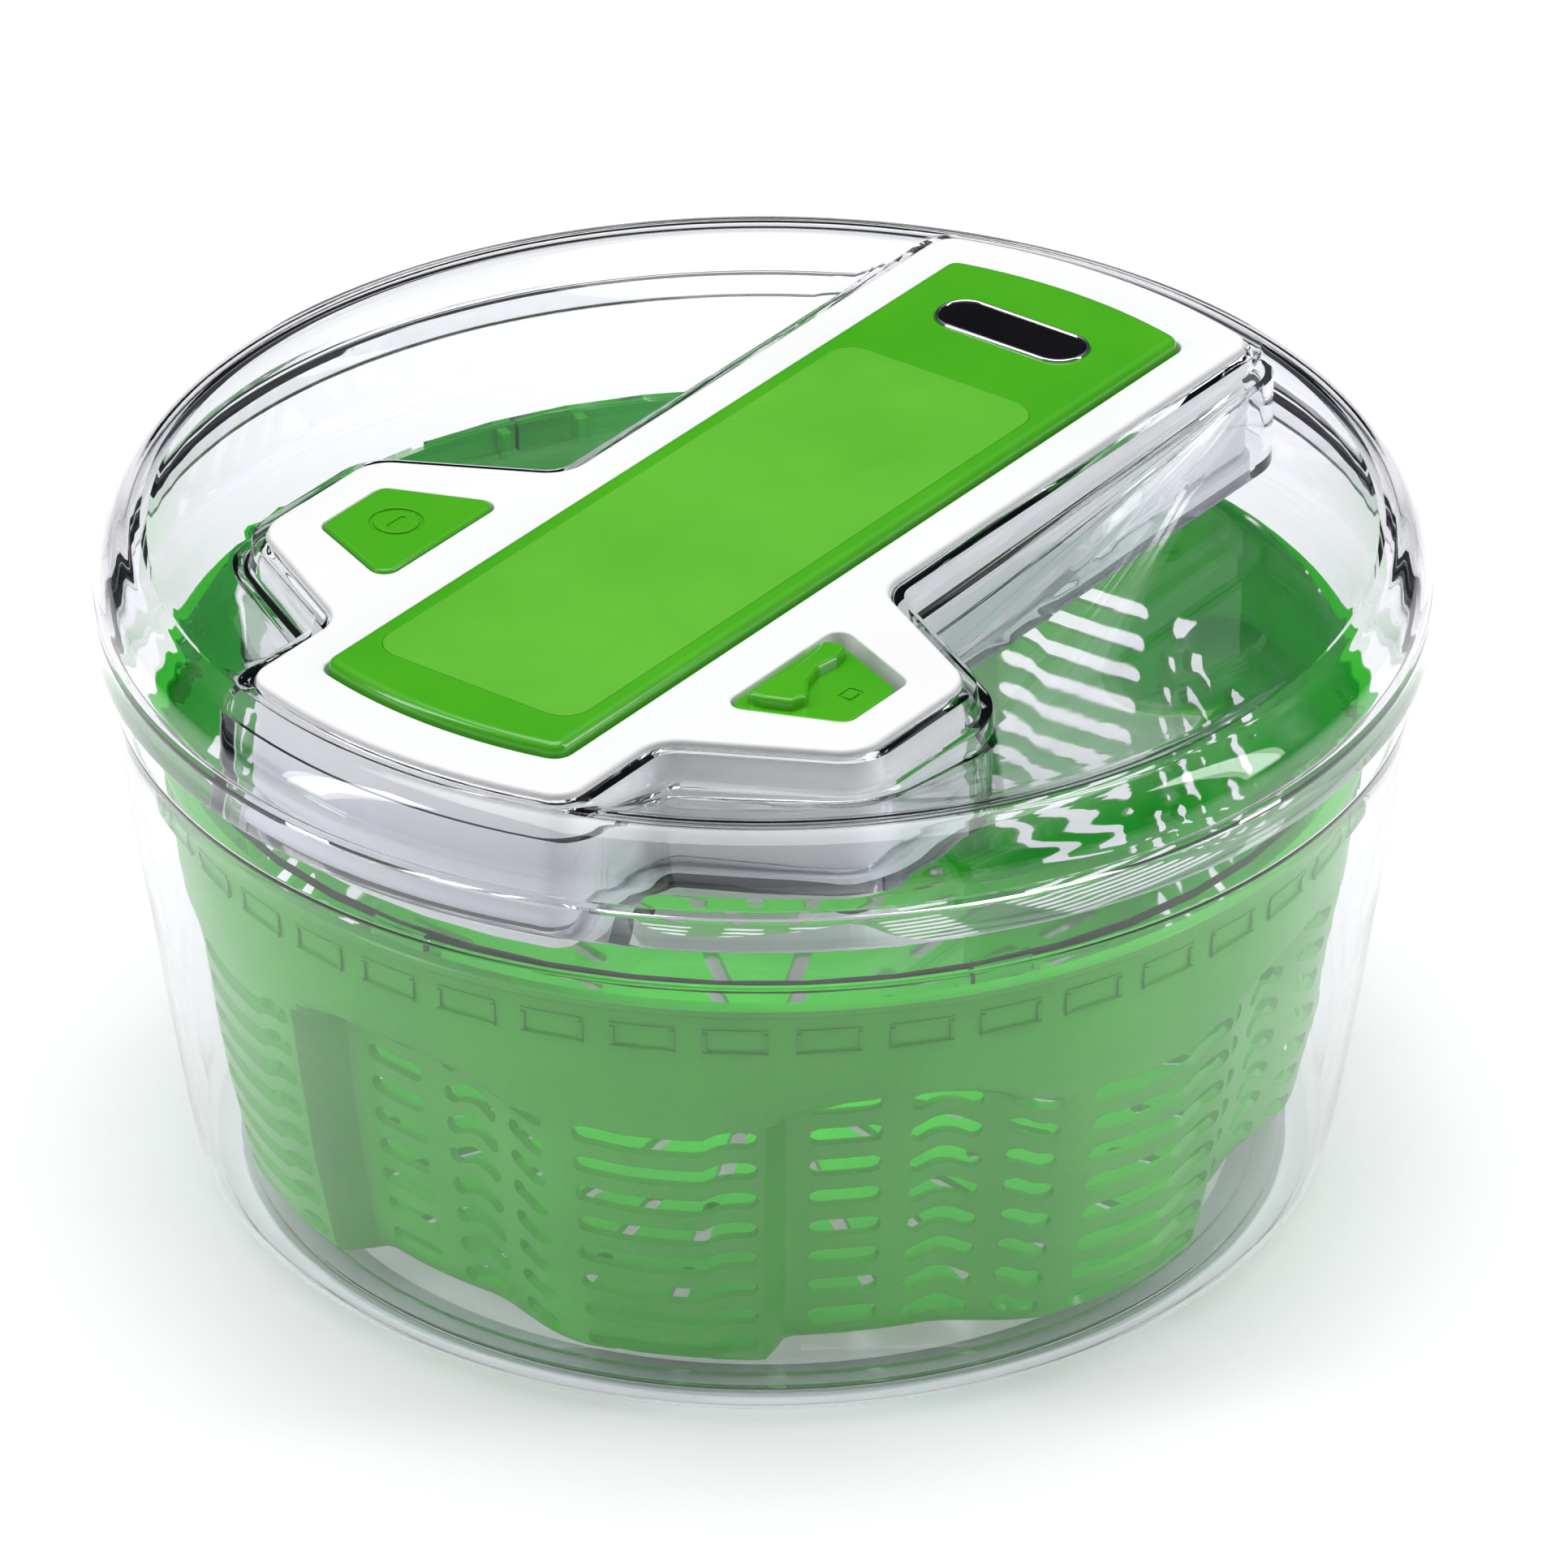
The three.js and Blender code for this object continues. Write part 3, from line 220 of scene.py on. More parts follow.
def triangulate(loops, extra=()):
    """Loops are closed outlines; the first bounds the area and the others are holes or crease lines."""
    points, edges = [], []
    for loop in loops:
        n = len(points)
        points += [Vector(p[:2]) for p in loop]
        edges += [(n + i, n + (i + 1) % len(loop)) for i in range(len(loop))]
    points += [Vector(p[:2]) for p in extra]
    made = geometry.delaunay_2d_cdt(points, edges, [], 0, 1e-5, True)
    return made[0], made[2], made[3]


class Surface:
    def __init__(self):
        self.points, self.faces = [], []

    def ring(self, outline, z):
        n = len(self.points)
        for i, (x, y) in enumerate(outline):
            self.points.append((x, y, z[i] if hasattr(z, "__len__") else z))
        return list(range(n, n + len(outline)))

    def strip(self, a, b):
        for i in range(len(a)):
            j = (i + 1) % len(a)
            self.faces.append((a[i], a[j], b[j], b[i]))
        return b

    def fill(self, outer, holes=()):
        rings = [outer, *holes]
        flat = [i for ring in rings for i in ring]
        loops = [[self.points[i] for i in ring] for ring in rings]
        verts, faces, origin = triangulate(loops)
        centres = [sum((verts[i] for i in f), Vector((0, 0))) / 3 for f in faces]
        keep = inside([c[:] for c in centres], [p[:2] for p in loops[0]])
        for loop in loops[1:]:
            keep &= ~inside([c[:] for c in centres], [p[:2] for p in loop])
        home = {}
        for i, (v, known) in enumerate(zip(verts, origin)):
            if known:
                home[i] = flat[known[0]]
            else:
                near = min(flat, key=lambda j: math.dist(self.points[j][:2], v[:]))
                home[i] = len(self.points)
                self.points.append((v[0], v[1], self.points[near][2]))
        for f, k in zip(faces, keep):
            if k:
                self.faces.append(tuple(home[i] for i in f))

    def edge(self, plan, z_flat, radius, sign=-1, steps=4):
        """A rounded edge from a flat at z_flat into a wall. Returns the flat ring and the wall ring."""
        side = 1 if radius > 0 else -1
        r = abs(radius)
        up = 1 if sign < 0 else -1
        flat = self.ring(plan(-side * (r + 0.25)), z_flat)
        last = flat
        for k in range(steps + 1):
            a = math.pi / 2 * k / steps
            growth = -side * r * (1 - math.sin(a))
            last = self.strip(last, self.ring(plan(growth), z_flat - up * r * (1 - math.cos(a))))
        return flat, last


def finish_object(name, surface, material, body, replaces=(), smooth=38):
    mesh = bpy.data.meshes.new(name)
    mesh.from_pydata([tuple(c * MM for c in p) for p in surface.points], [], surface.faces)
    bm = bmesh.new()
    bm.from_mesh(mesh)
    bmesh.ops.remove_doubles(bm, verts=bm.verts, dist=2e-6)
    bmesh.ops.recalc_face_normals(bm, faces=bm.faces)
    bm.to_mesh(mesh)
    bm.free()
    obj = bpy.data.objects.new(name, mesh)
    bpy.context.scene.collection.objects.link(obj)
    return dress(obj, material, body, replaces, smooth)


def dress(obj, material, body, replaces=(), smooth=38):
    obj.data.materials.clear()
    obj.data.materials.append(material)
    obj.data.shade_smooth()
    obj.data.set_sharp_from_angle(angle=math.radians(smooth))
    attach(obj, body)
    if replaces:
        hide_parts(*replaces)
    print(obj.name, len(obj.data.polygons), "faces")
    return obj


def slab(name, plan, z0, z1, radius, material, body, replaces=(), pits=(), under=0.4):
    """A moulded slab with rounded edges. Each pit is (plan, depth, edge radius) sunk into its top."""
    s = Surface()
    top, wall = s.edge(plan, z1, radius)
    holes = []
    for pit_plan, depth, pit_radius in pits:
        lip, pit_wall = s.edge(pit_plan, z1, -pit_radius)
        holes.append(lip)
        low = s.strip(pit_wall, s.ring(pit_plan(0), z1 - depth))
        s.fill(low)
    s.fill(top, holes)
    foot, foot_wall = s.edge(plan, z0, under, sign=1, steps=2)
    s.strip(wall, foot_wall)
    s.fill(foot)
    return finish_object(name, s, material, body, replaces)


# %% [markdown]
# ## Materials
# One function adds a shader node with its settings and its links. Colours are written as sRGB hex
# and turned to linear light in one place. Pattern scales come from the real thing: moulded plastic
# has an orange-peel skin a few millimetres wide and microns deep, and a frosted grip has a spark
# texture of about 0.4 mm. Both are drawn a little coarser so that they still show at this size.

# %% Material helpers


def linear(hex_colour):
    channels = [int(hex_colour[i:i + 2], 16) / 255 for i in (1, 3, 5)]
    return [c / 12.92 if c <= 0.04045 else ((c + 0.055) / 1.055) ** 2.4 for c in channels] + [1.0]


def add(tree, kind, settings=None, links=None):
    node = tree.nodes.new(kind)
    for key, value in (settings or {}).items():
        if isinstance(key, str) and hasattr(node, key) and key not in node.inputs:
            setattr(node, key, value)
        else:
            node.inputs[key].default_value = value
    for key, socket in (links or {}).items():
        tree.links.new(socket, node.inputs[key])
    return node


def start(name):
    material = bpy.data.materials.new(name)
    material.use_nodes = True
    tree = material.node_tree
    tree.nodes.clear()
    place = add(tree, "ShaderNodeTexCoord").outputs["Object"]
    return material, tree, place


def noise_of(tree, place, scale_mm, detail):
    scale = 1 / (scale_mm * MM)
    return add(tree, "ShaderNodeTexNoise", {"Scale": scale, "Detail": detail}, {"Vector": place})


def skin(tree, place, scale_mm, depth_mm):
    """The fine relief of a moulded face as a bump normal."""
    noise = noise_of(tree, place, scale_mm, 2.0)
    return add(
        tree, "ShaderNodeBump", {"Strength": 1.0, "Distance": depth_mm * MM}, {"Height": noise.outputs[0]},
    ).outputs["Normal"]


def wear(tree, place, scale_mm, low, high):
    """Roughness that drifts slowly over the surface, as handling leaves it."""
    noise = noise_of(tree, place, scale_mm, 4.0)
    spread = add(
        tree, "ShaderNodeMapRange",
        {"From Min": 0.3, "From Max": 0.7, "To Min": low, "To Max": high}, {"Value": noise.outputs[0]},
    )
    return spread.outputs[0]


def output(tree, shader):
    add(tree, "ShaderNodeOutputMaterial", {}, {"Surface": shader})


def mottle(tree, place, scale_mm, dark, light):
    """A base colour that varies a little, as pigment does in a moulding."""
    noise = noise_of(tree, place, scale_mm, 3.0)
    ramp = add(tree, "ShaderNodeValToRGB", {}, {"Fac": noise.outputs[0]})
    ramp.color_ramp.elements[0].position, ramp.color_ramp.elements[1].position = 0.35, 0.65
    ramp.color_ramp.elements[0].color, ramp.color_ramp.elements[1].color = linear(dark), linear(light)
    return ramp.outputs["Color"]


def opaque(name, dark, light, rough, relief, metallic=0.0, coat=0.0, patch_mm=40, shine=0.5):
    material, tree, place = start(name)
    shader = add(
        tree, "ShaderNodeBsdfPrincipled",
        {"Metallic": metallic, "Coat Weight": coat, "Coat Roughness": 0.05, "Specular IOR Level": shine},
        {
            "Base Color": mottle(tree, place, patch_mm, dark, light),
            "Roughness": wear(tree, place, 18, *rough),
            "Normal": skin(tree, place, *relief),
        },
    )
    output(tree, shader.outputs[0])
    return material


def through_shadow(tree, shader, tint):
    """Light passes to what lies behind, because a clear moulding casts hardly any shadow."""
    path = add(tree, "ShaderNodeLightPath").outputs["Is Shadow Ray"]
    clear = add(tree, "ShaderNodeBsdfTransparent", {"Color": linear(tint)})
    return add(tree, "ShaderNodeMixShader", {}, {0: path, 1: shader, 2: clear.outputs[0]}).outputs[0]


# %% [markdown]
# Injection-moulded styrene is what makes the bowl and lid: bright, slightly cool at its edges, and
# with faint hairline wear. The wear only roughens the shine in places; the body stays clear.

# %% Clear styrene


def clear_styrene():
    material, tree, place = start("clear_styrene_polished")
    shader = add(
        tree, "ShaderNodeBsdfPrincipled",
        {"Base Color": linear("#FCFCFE"), "Transmission Weight": 1.0, "IOR": 1.45},
        {"Roughness": wear(tree, place, 30, 0.0, 0.03), "Normal": skin(tree, place, 14, 0.012)},
    )
    output(tree, through_shadow(tree, shader.outputs[0], "#F4F6F8"))
    return material


# %% [markdown]
# The basket is tinted styrene. Light goes through it, scatters in the thickness and comes out a
# yellower green, so the shader mixes a glossy skin, a translucent body and some plain see-through.
# A face that looks away from the axis is an outer one and gets a paler green, a painted light. The inner
# faces get a deeper green, a painted shade, because daylight reaches them mostly through the plastic.

# %% Tinted basket plastic
GLOW_SHARE, CLEAR_SHARE = 0.24, 0.20


def tinted_styrene():
    material, tree, place = start("green_styrene_translucent")
    normal = skin(tree, place, 9, 0.03)
    facing = add(tree, "ShaderNodeTexCoord").outputs["Normal"]
    radial = add(tree, "ShaderNodeVectorMath", {"operation": "MULTIPLY", 1: (1, 1, 0)}, {0: place})
    unit = add(tree, "ShaderNodeVectorMath", {"operation": "NORMALIZE"}, {0: radial.outputs[0]}).outputs[0]
    along = add(tree, "ShaderNodeVectorMath", {"operation": "DOT_PRODUCT"}, {0: unit, 1: facing})
    outside = add(
        tree, "ShaderNodeMapRange",
        {"From Min": -0.25, "From Max": 0.15, "To Min": 0.0, "To Max": 1.0},
        {"Value": along.outputs["Value"]},
    ).outputs[0]
    # Painted shade and light: inner faces get a darker copy of the one green, and outer faces a paler copy.
    painted_shade_inner_green = mottle(tree, place, 25, "#08A02C", "#10AE30")
    painted_light_outer_green = mottle(tree, place, 25, "#38C22C", "#4ACD30")
    colour = add(
        tree, "ShaderNodeMixRGB", {}, {"Fac": outside, "Color1": painted_shade_inner_green, "Color2": painted_light_outer_green},
    ).outputs[0]
    gloss = add(
        tree, "ShaderNodeBsdfPrincipled", {"IOR": 1.5},
        {"Base Color": colour, "Roughness": wear(tree, place, 18, 0.14, 0.26), "Normal": normal},
    )
    glow = add(tree, "ShaderNodeBsdfTranslucent", {"Color": linear("#9BE63A")}, {"Normal": normal})
    body = add(tree, "ShaderNodeMixShader", {0: GLOW_SHARE}, {1: gloss.outputs[0], 2: glow.outputs[0]})
    clear = add(tree, "ShaderNodeBsdfTransparent", {"Color": linear("#74D25A")})
    mixed = add(tree, "ShaderNodeMixShader", {0: CLEAR_SHARE}, {1: body.outputs[0], 2: clear.outputs[0]})
    output(tree, mixed.outputs[0])
    return material


CLEAR = clear_styrene()
BASKET_GREEN = tinted_styrene()

# %% [markdown]
# The other parts: glossy ABS for lever, buttons and frame, a frosted soft grip, milky TPE for the
# foot, acetal gears that look slightly waxy, steel for pins, screws and springs, plated chrome for
# the badge rim, and a blank piano-black badge plate.

# %% Opaque materials
GREEN = opaque("green_abs_glossy", "#45B010", "#4FB814", (0.14, 0.22), (2.5, 0.012), coat=0.3)
GRIP = opaque("green_tpe_frosted", "#58B81E", "#62C026", (0.42, 0.52), (0.45, 0.045))
WHITE = opaque("white_abs_glossy", "#FBFBFB", "#FEFEFE", (0.28, 0.36), (2.5, 0.006), shine=0.25)
ACETAL = opaque("natural_acetal_moulded", "#E9E6DB", "#F2F0E8", (0.34, 0.46), (1.2, 0.02))
STEEL = opaque("stainless_steel_drawn", "#B7BABF", "#CDD0D4", (0.18, 0.34), (0.5, 0.008), metallic=1.0)
CHROME = opaque("chrome_plated", "#D9DBDE", "#E6E8EA", (0.03, 0.09), (3.0, 0.004), metallic=1.0)
BLACK = opaque("black_abs_piano_gloss", "#0D0B0C", "#171415", (0.10, 0.18), (3.0, 0.006), shine=0.15)
MILKY = opaque("milky_tpe_foot", "#DDE2E2", "#EDF0F0", (0.4, 0.55), (0.8, 0.03))
RUBBER = opaque("black_rubber_moulded", "#141415", "#222223", (0.65, 0.85), (0.5, 0.04))

SLOT_MATERIAL = {
    "clear_plastic": CLEAR, "tinted_green_plastic": BASKET_GREEN, "green_abs": GREEN,
    "frosted_green_tpe": GRIP, "white_abs": WHITE, "natural_acetal": ACETAL, "stainless_steel": STEEL,
    "bright_chrome": CHROME, "black_gloss": BLACK, "translucent_tpe": MILKY, "black_rubber": RUBBER,
}
for row in frame["record"]["subparts"]:
    node = frame["nodes"][row["node"]]
    for place in node.material_slots:
        place.link = "OBJECT"
        place.material = SLOT_MATERIAL[row["material_slot"]]
print("materials", len(SLOT_MATERIAL))

# %% [markdown]
# ## The bowl
# A turned profile, as such a bowl's mould is itself turned. The wall runs from a tight base corner
# through a slow flare to a straight band that the lid slips over.

# %% Turn a profile


def lathe(surface, profile, count=224):
    rings = []
    for r, z in profile:
        if r < 1e-6:
            surface.points.append((0, 0, z))
            rings.append([len(surface.points) - 1])
        else:
            rings.append(surface.ring(circle(r, count), z))
    for a, b in zip(rings, rings[1:]):
        if len(a) == 1 or len(b) == 1:
            tip, loop = (a[0], b) if len(a) == 1 else (b[0], a)
            surface.faces += [(tip, loop[i], loop[(i + 1) % count]) for i in range(count)]
        else:
            surface.strip(a, b)
    return rings


def smooth_path(knots, count):
    """A soft curve through (radius, height) knots."""
    knots = [Vector(k) for k in knots]
    knots = [2 * knots[0] - knots[1], *knots, 2 * knots[-1] - knots[-2]]
    out = []
    for i in range(1, len(knots) - 2):
        p0, p1, p2, p3 = knots[i - 1:i + 3]
        for k in range(count):
            t = k / count
            a = 2 * p1 + (p2 - p0) * t + (2 * p0 - 5 * p1 + 4 * p2 - p3) * t ** 2
            out.append(tuple((a + (3 * p1 - p0 - 3 * p2 + p3) * t ** 3) / 2))
    return [*out, tuple(knots[-2])]


BOWL_WALL = 2.2
base_arc = [
    (106 + 8 * math.sin(a), BOWL_BOTTOM + 8 - 8 * math.cos(a))
    for a in (math.pi / 2 * 0.92 * k / 8 for k in range(9))
]
flare = smooth_path([base_arc[-1], (116.6, 26), (119.0, 42), (121.4, 60), (124.0, 78), (126.2, 105)], 4)
outer = [(0, BOWL_BOTTOM), (60, BOWL_BOTTOM), (92, BOWL_BOTTOM), *base_arc[:-1], *flare]
outer += [(127.1, 106.2), (127.3, 107.2), (127.3, BOWL_TOP - 0.5), (126.9, BOWL_TOP)]
inner = [(r - BOWL_WALL, max(z, BOWL_BOTTOM + BOWL_WALL)) for r, z in outer[4:]][::-1]
ridges = [(104, 3.5), (103.2, 4.0), (102.4, 3.5), (99, 3.5), (98.4, 3.9), (97.8, 3.5)]
pin = [(3.4, 3.4), (3.0, 6.9), (2.2, 8.1), (0, 8.4)]
bowl_surface = Surface()
lathe(bowl_surface, [*outer, (125.6, BOWL_TOP), *inner[1:], *ridges, *pin])
finish_object("bowl_clear", bowl_surface, CLEAR, "bowl_body", ["bowl"])

foot_surface = Surface()
foot_profile = [(94.4, 0.0), (103.6, 0.0), (104, 0.4), (104, 1.1), (94, 1.1), (94, 0.4), (94.4, 0.0)]
lathe(foot_surface, foot_profile)
finish_object("foot_ring_soft", foot_surface, MILKY, "bowl_body", ["foot_ring"])

# %% [markdown]
# ## The lid
# The top of the lid is a height over the plan: flat on the rim and along the bridge, one step down
# to a ledge, then a wall down to the dish of each window. `lid_height` says that height anywhere,
# with every step softened. The underside is the same shape moved in by the wall's thickness.

# %% Lid height
LID_WALL = 2.2
WINDOW = 118.5
DISH_DEPTH = 22.0
LEDGE_DROP = 5
LEDGE_STEP = (2.9, 3.7)
DISH_STEP = (6.0, 7.1)
THROAT = 0.4
SEGMENTS = 224
GRID_STEP = 4.5
DISH_BALL = (WINDOW ** 2 + DISH_DEPTH ** 2) / (2 * DISH_DEPTH)
BRIDGE_LINE = np.array(bridge(0.0))


def beyond_bridge(p):
    """How far each point lies outside the bridge's outline; negative within it."""
    a, b = BRIDGE_LINE, np.roll(BRIDGE_LINE, -1, axis=0)
    run = b - a
    out = np.empty(len(p))
    for lo in range(0, len(p), 2000):
        q = p[lo:lo + 2000, None, :]
        t = np.clip(((q - a) * run).sum(2) / (run ** 2).sum(1), 0, 1)
        out[lo:lo + 2000] = np.sqrt((((a + run * t[..., None]) - q) ** 2).sum(2)).min(1)
    return np.where(inside(p, BRIDGE_LINE), -out, out)


def soft_step(x, low, high):
    t = np.clip((x - low) / (high - low), 0, 1)
    return t * t * (3 - 2 * t)


def soft_min(a, b, k):
    return -k * np.logaddexp(-a / k, -b / k)


def lid_height(p, shift=0.0, drop=0.0):
    d = beyond_bridge(p) + shift
    r = np.hypot(p[:, 0], p[:, 1])
    dish = LID_TOP - DISH_DEPTH + DISH_BALL - np.sqrt(DISH_BALL ** 2 - np.minimum(r, 125) ** 2)
    low = soft_min(dish, np.full_like(dish, LID_TOP), 0.35)
    ledge = np.minimum(np.maximum(low, LID_TOP - LEDGE_DROP), LID_TOP)
    z = LID_TOP + (ledge - LID_TOP) * soft_step(d, *LEDGE_STEP)
    return z + (low - ledge) * soft_step(d, *DISH_STEP) - drop


def lid_sheet(surface, rim_radius, shift, drop, growths):
    """One side of the lid's top as triangles that follow all of its creases."""
    throat = bridge(THROAT)
    loops = [circle(rim_radius, SEGMENTS), throat]
    loops += [bridge(g - shift) for g in growths]
    loops += [circle(r, SEGMENTS) for r in (118.9, 118.2, 117.2, 115.5, 112)]
    spread = []
    for r in np.arange(8, 110, GRID_STEP):
        n = max(8, int(2 * math.pi * r / GRID_STEP))
        spread += circle(r, n)
    spread = np.array(spread)
    gap = beyond_bridge(spread)
    spread = [tuple(p) for p, g in zip(spread, gap) if g > 8.2 - shift]
    verts, faces, _ = triangulate(loops, spread)
    flat = np.array([v[:] for v in verts])
    centres = flat[np.array(faces)].mean(1)
    keep = (beyond_bridge(centres) > THROAT) & inside(centres, loops[0])
    keep &= ~inside(centres, throat)
    z = lid_height(flat, shift, drop)
    n = len(surface.points)
    surface.points += [(x, y, h) for (x, y), h in zip(flat, z)]
    surface.faces += [tuple(n + i for i in f) for f, k in zip(faces, keep) if k]
    return throat


lid_surface = Surface()
growths_top = (2.9, 3.1, 3.3, 3.5, 3.7, 4.6, 6.0, 6.25, 6.55, 6.85, 7.1, 7.8)
throat = lid_sheet(lid_surface, 120.5, 0.0, 0.0, growths_top)
lid_sheet(lid_surface, 119.4, LID_WALL, LID_WALL, [g for g in growths_top if g > 3.3])
top_ring = lid_surface.ring(throat, list(lid_height(np.array(throat))))
low_ring = lid_surface.ring(throat, list(lid_height(np.array(throat), LID_WALL, LID_WALL)))
lid_surface.strip(top_ring, low_ring)

shoulder_knots = [(121.8, LID_TOP - 0.15), (124.6, 136.8), (127.4, 134.3), (129.3, 130.6), (130, 126.5)]
shoulder = smooth_path(shoulder_knots, 5)
shell = [(120.5, LID_TOP), *shoulder, (LID_RADIUS, LID_EDGE + 0.5), (LID_RADIUS - 0.5, LID_EDGE)]
shell += [(127.9, LID_EDGE), (127.8, LID_EDGE + 0.4), (127.8, 122.3), (126.4, 122.4), (126.2, 123.4)]
shell += [(127.6, 124.2), (127.7, 126.4), (127.0, 129.8), (125.3, 132.8), (122.9, 134.9)]
shell += [(121.2, 135.6), (119.4, LID_TOP - LID_WALL)]
lathe(lid_surface, shell)
finish_object("lid_clear", lid_surface, CLEAR, "lid_body", ["lid_shell"], smooth=50)

# %% [markdown]
# Under the bridge the lid has a clear trough that carries the gear housing. Its wall has an
# L-shaped section that runs once round the bridge and ends just under the dish.

# %% Lid trough


def trough():
    s = Surface()
    inner, wall_in, wall_out = -1.2, 4.5, 6.3
    foot, floor_top, highest, reach_out = 112, 114, 132, 122.6

    def ring(growth, z):
        plan = [(Vector(p) * min(1, reach_out / Vector(p).length))[:] for p in bridge(growth)]
        return s.ring(plan, z)

    high = lid_height(np.array(bridge(wall_out))) - 2 * LID_WALL
    tops = list(np.clip(high, floor_top + 0.6, highest))
    rings = [ring(inner, foot), ring(wall_out, foot), ring(wall_out, tops)]
    rings += [ring(wall_in, tops), ring(wall_in, floor_top), ring(inner, floor_top)]
    for a, b in zip(rings, rings[1:] + rings[:1]):
        s.strip(a, b)
    return finish_object("lid_trough_clear", s, CLEAR, "lid_body", smooth=50)


trough()

# %% [markdown]
# ## The bridge, the lever and the buttons
# Each is a slab with rounded edges. The white frame has three pits, for the lever and for the two
# buttons. Its inside is drawn full: the gears and the brake's stem lie hidden within it.

# %% White frame


def white_frame():
    s = Surface()
    top, wall = s.edge(bridge, FRAME_TOP, 0.9)
    holes = []
    well_floor, slot_floor, tail_floor, ear_floor = 134.5, 126, 127, 129
    lever_gap, button_gap = 0.9, 0.5
    lip, well_wall = s.edge(lambda g: lever_plan(lever_gap + g), FRAME_TOP, -0.45)
    holes.append(lip)
    floor = s.strip(well_wall, s.ring(lever_plan(lever_gap), well_floor))
    slot = lambda g: box_plan(55, 88.6, -15.7, -7.3, 0.8, g)
    right_end = [(90, -28, 0.8), (101.3, -28, 0.8), (104.2, -14, 6)]
    left_end = [(x, -y, r) for x, y, r in right_end[::-1]]
    tail = lambda g: rounded(grown(right_end + left_end, g), 4)
    cuts = []
    for plan, depth in ((slot, slot_floor), (tail, tail_floor)):
        ring = s.ring(plan(0), well_floor)
        cuts.append(ring)
        s.fill(s.strip(ring, s.ring(plan(0), depth)))
    s.fill(floor, cuts)
    for side in (1, -1):
        lip, pit = s.edge(lambda g, side=side: button_plan(side, button_gap + g), FRAME_TOP, -0.4)
        holes.append(lip)
        s.fill(s.strip(pit, s.ring(button_plan(side, button_gap), ear_floor)))
    s.fill(top, holes)
    foot, foot_wall = s.edge(bridge, FRAME_BOTTOM, 0.5, sign=1, steps=2)
    s.strip(wall, foot_wall)
    s.fill(foot)
    return finish_object("frame_white", s, WHITE, "lid_body", ["mechanism_frame"])


white_frame()

# %% [markdown]
# The lever has two shallow pits, for the frosted grip and for the blank badge. The badge's chrome
# rim is a half-round bead swept round the badge's outline.

# %% Lever, grip and badge


BADGE_X, BADGE_HALF_WIDTH, BADGE_HALF_LENGTH = 82.5, 6.25, 17.5


def badge_plan(growth=0.0):
    x0, x1 = BADGE_X - BADGE_HALF_WIDTH, BADGE_X + BADGE_HALF_WIDTH
    return box_plan(x0, x1, -BADGE_HALF_LENGTH, BADGE_HALF_LENGTH, 6.05, growth, 12)


def grip_plan(growth=0.0):
    return box_plan(-92, 59, -24, 24, 6, growth, 10)


slab(
    "lever_green", lever_plan, LEVER_BOTTOM, LEVER_TOP, 1.7, GREEN, "lever_body", ["lever"],
    pits=[(lambda g: grip_plan(0.05 + g), 0.8, 0.12), (lambda g: badge_plan(0.1 + g), 1.2, 0.15)],
)
slab(
    "grip_frosted", grip_plan, LEVER_TOP - 0.75, LEVER_TOP + 0.1, 0.22, GRIP,
    "lever_body", ["grip_pad"], under=0.1,
)
slab(
    "badge_blank", lambda g: badge_plan(g - 0.95), LEVER_TOP - 1.15, LEVER_TOP + 0.3, 0.25, BLACK,
    "lever_body", ["badge_plate"], under=0.1,
)


def bezel():
    s = Surface()
    z0, z1, mid, width = LEVER_TOP - 1.15, LEVER_TOP + 0.55, LEVER_TOP + 0.1, 0.9
    rings = [s.ring(badge_plan(0), z0)]
    for k in range(9):
        a = math.pi * k / 8
        growth = -width / 2 + width / 2 * math.cos(a)
        rings.append(s.ring(badge_plan(growth), mid + (z1 - mid) * math.sin(a)))
    rings.append(s.ring(badge_plan(-width), z0))
    for a, b in zip(rings, rings[1:] + rings[:1]):
        s.strip(a, b)
    return finish_object("badge_rim_chrome", s, CHROME, "lever_body", ["badge_bezel"], smooth=60)


bezel()

# %% [markdown]
# The brake button carries a sunk barred circle instead of a word. The lock has a raised thumb fin
# with an S-shaped edge and a small sunk rectangle.

# %% Buttons
STOP_TOP = reach("stop_button", 1, 2)
FIN_HEIGHT = 2.4
LOCK_TOP = reach("lock_slider", 1, 2) - FIN_HEIGHT
STOP_Y = 52
RING_OUTER, RING_INNER, RING_DEPTH = 5.4, 4.4, 0.45
STEM_RADIUS, STEM_FOOT = 4, 106.2


def sunk_circle(radius):
    return lambda g: circle(radius + g, 40, EAR_X, STOP_Y)


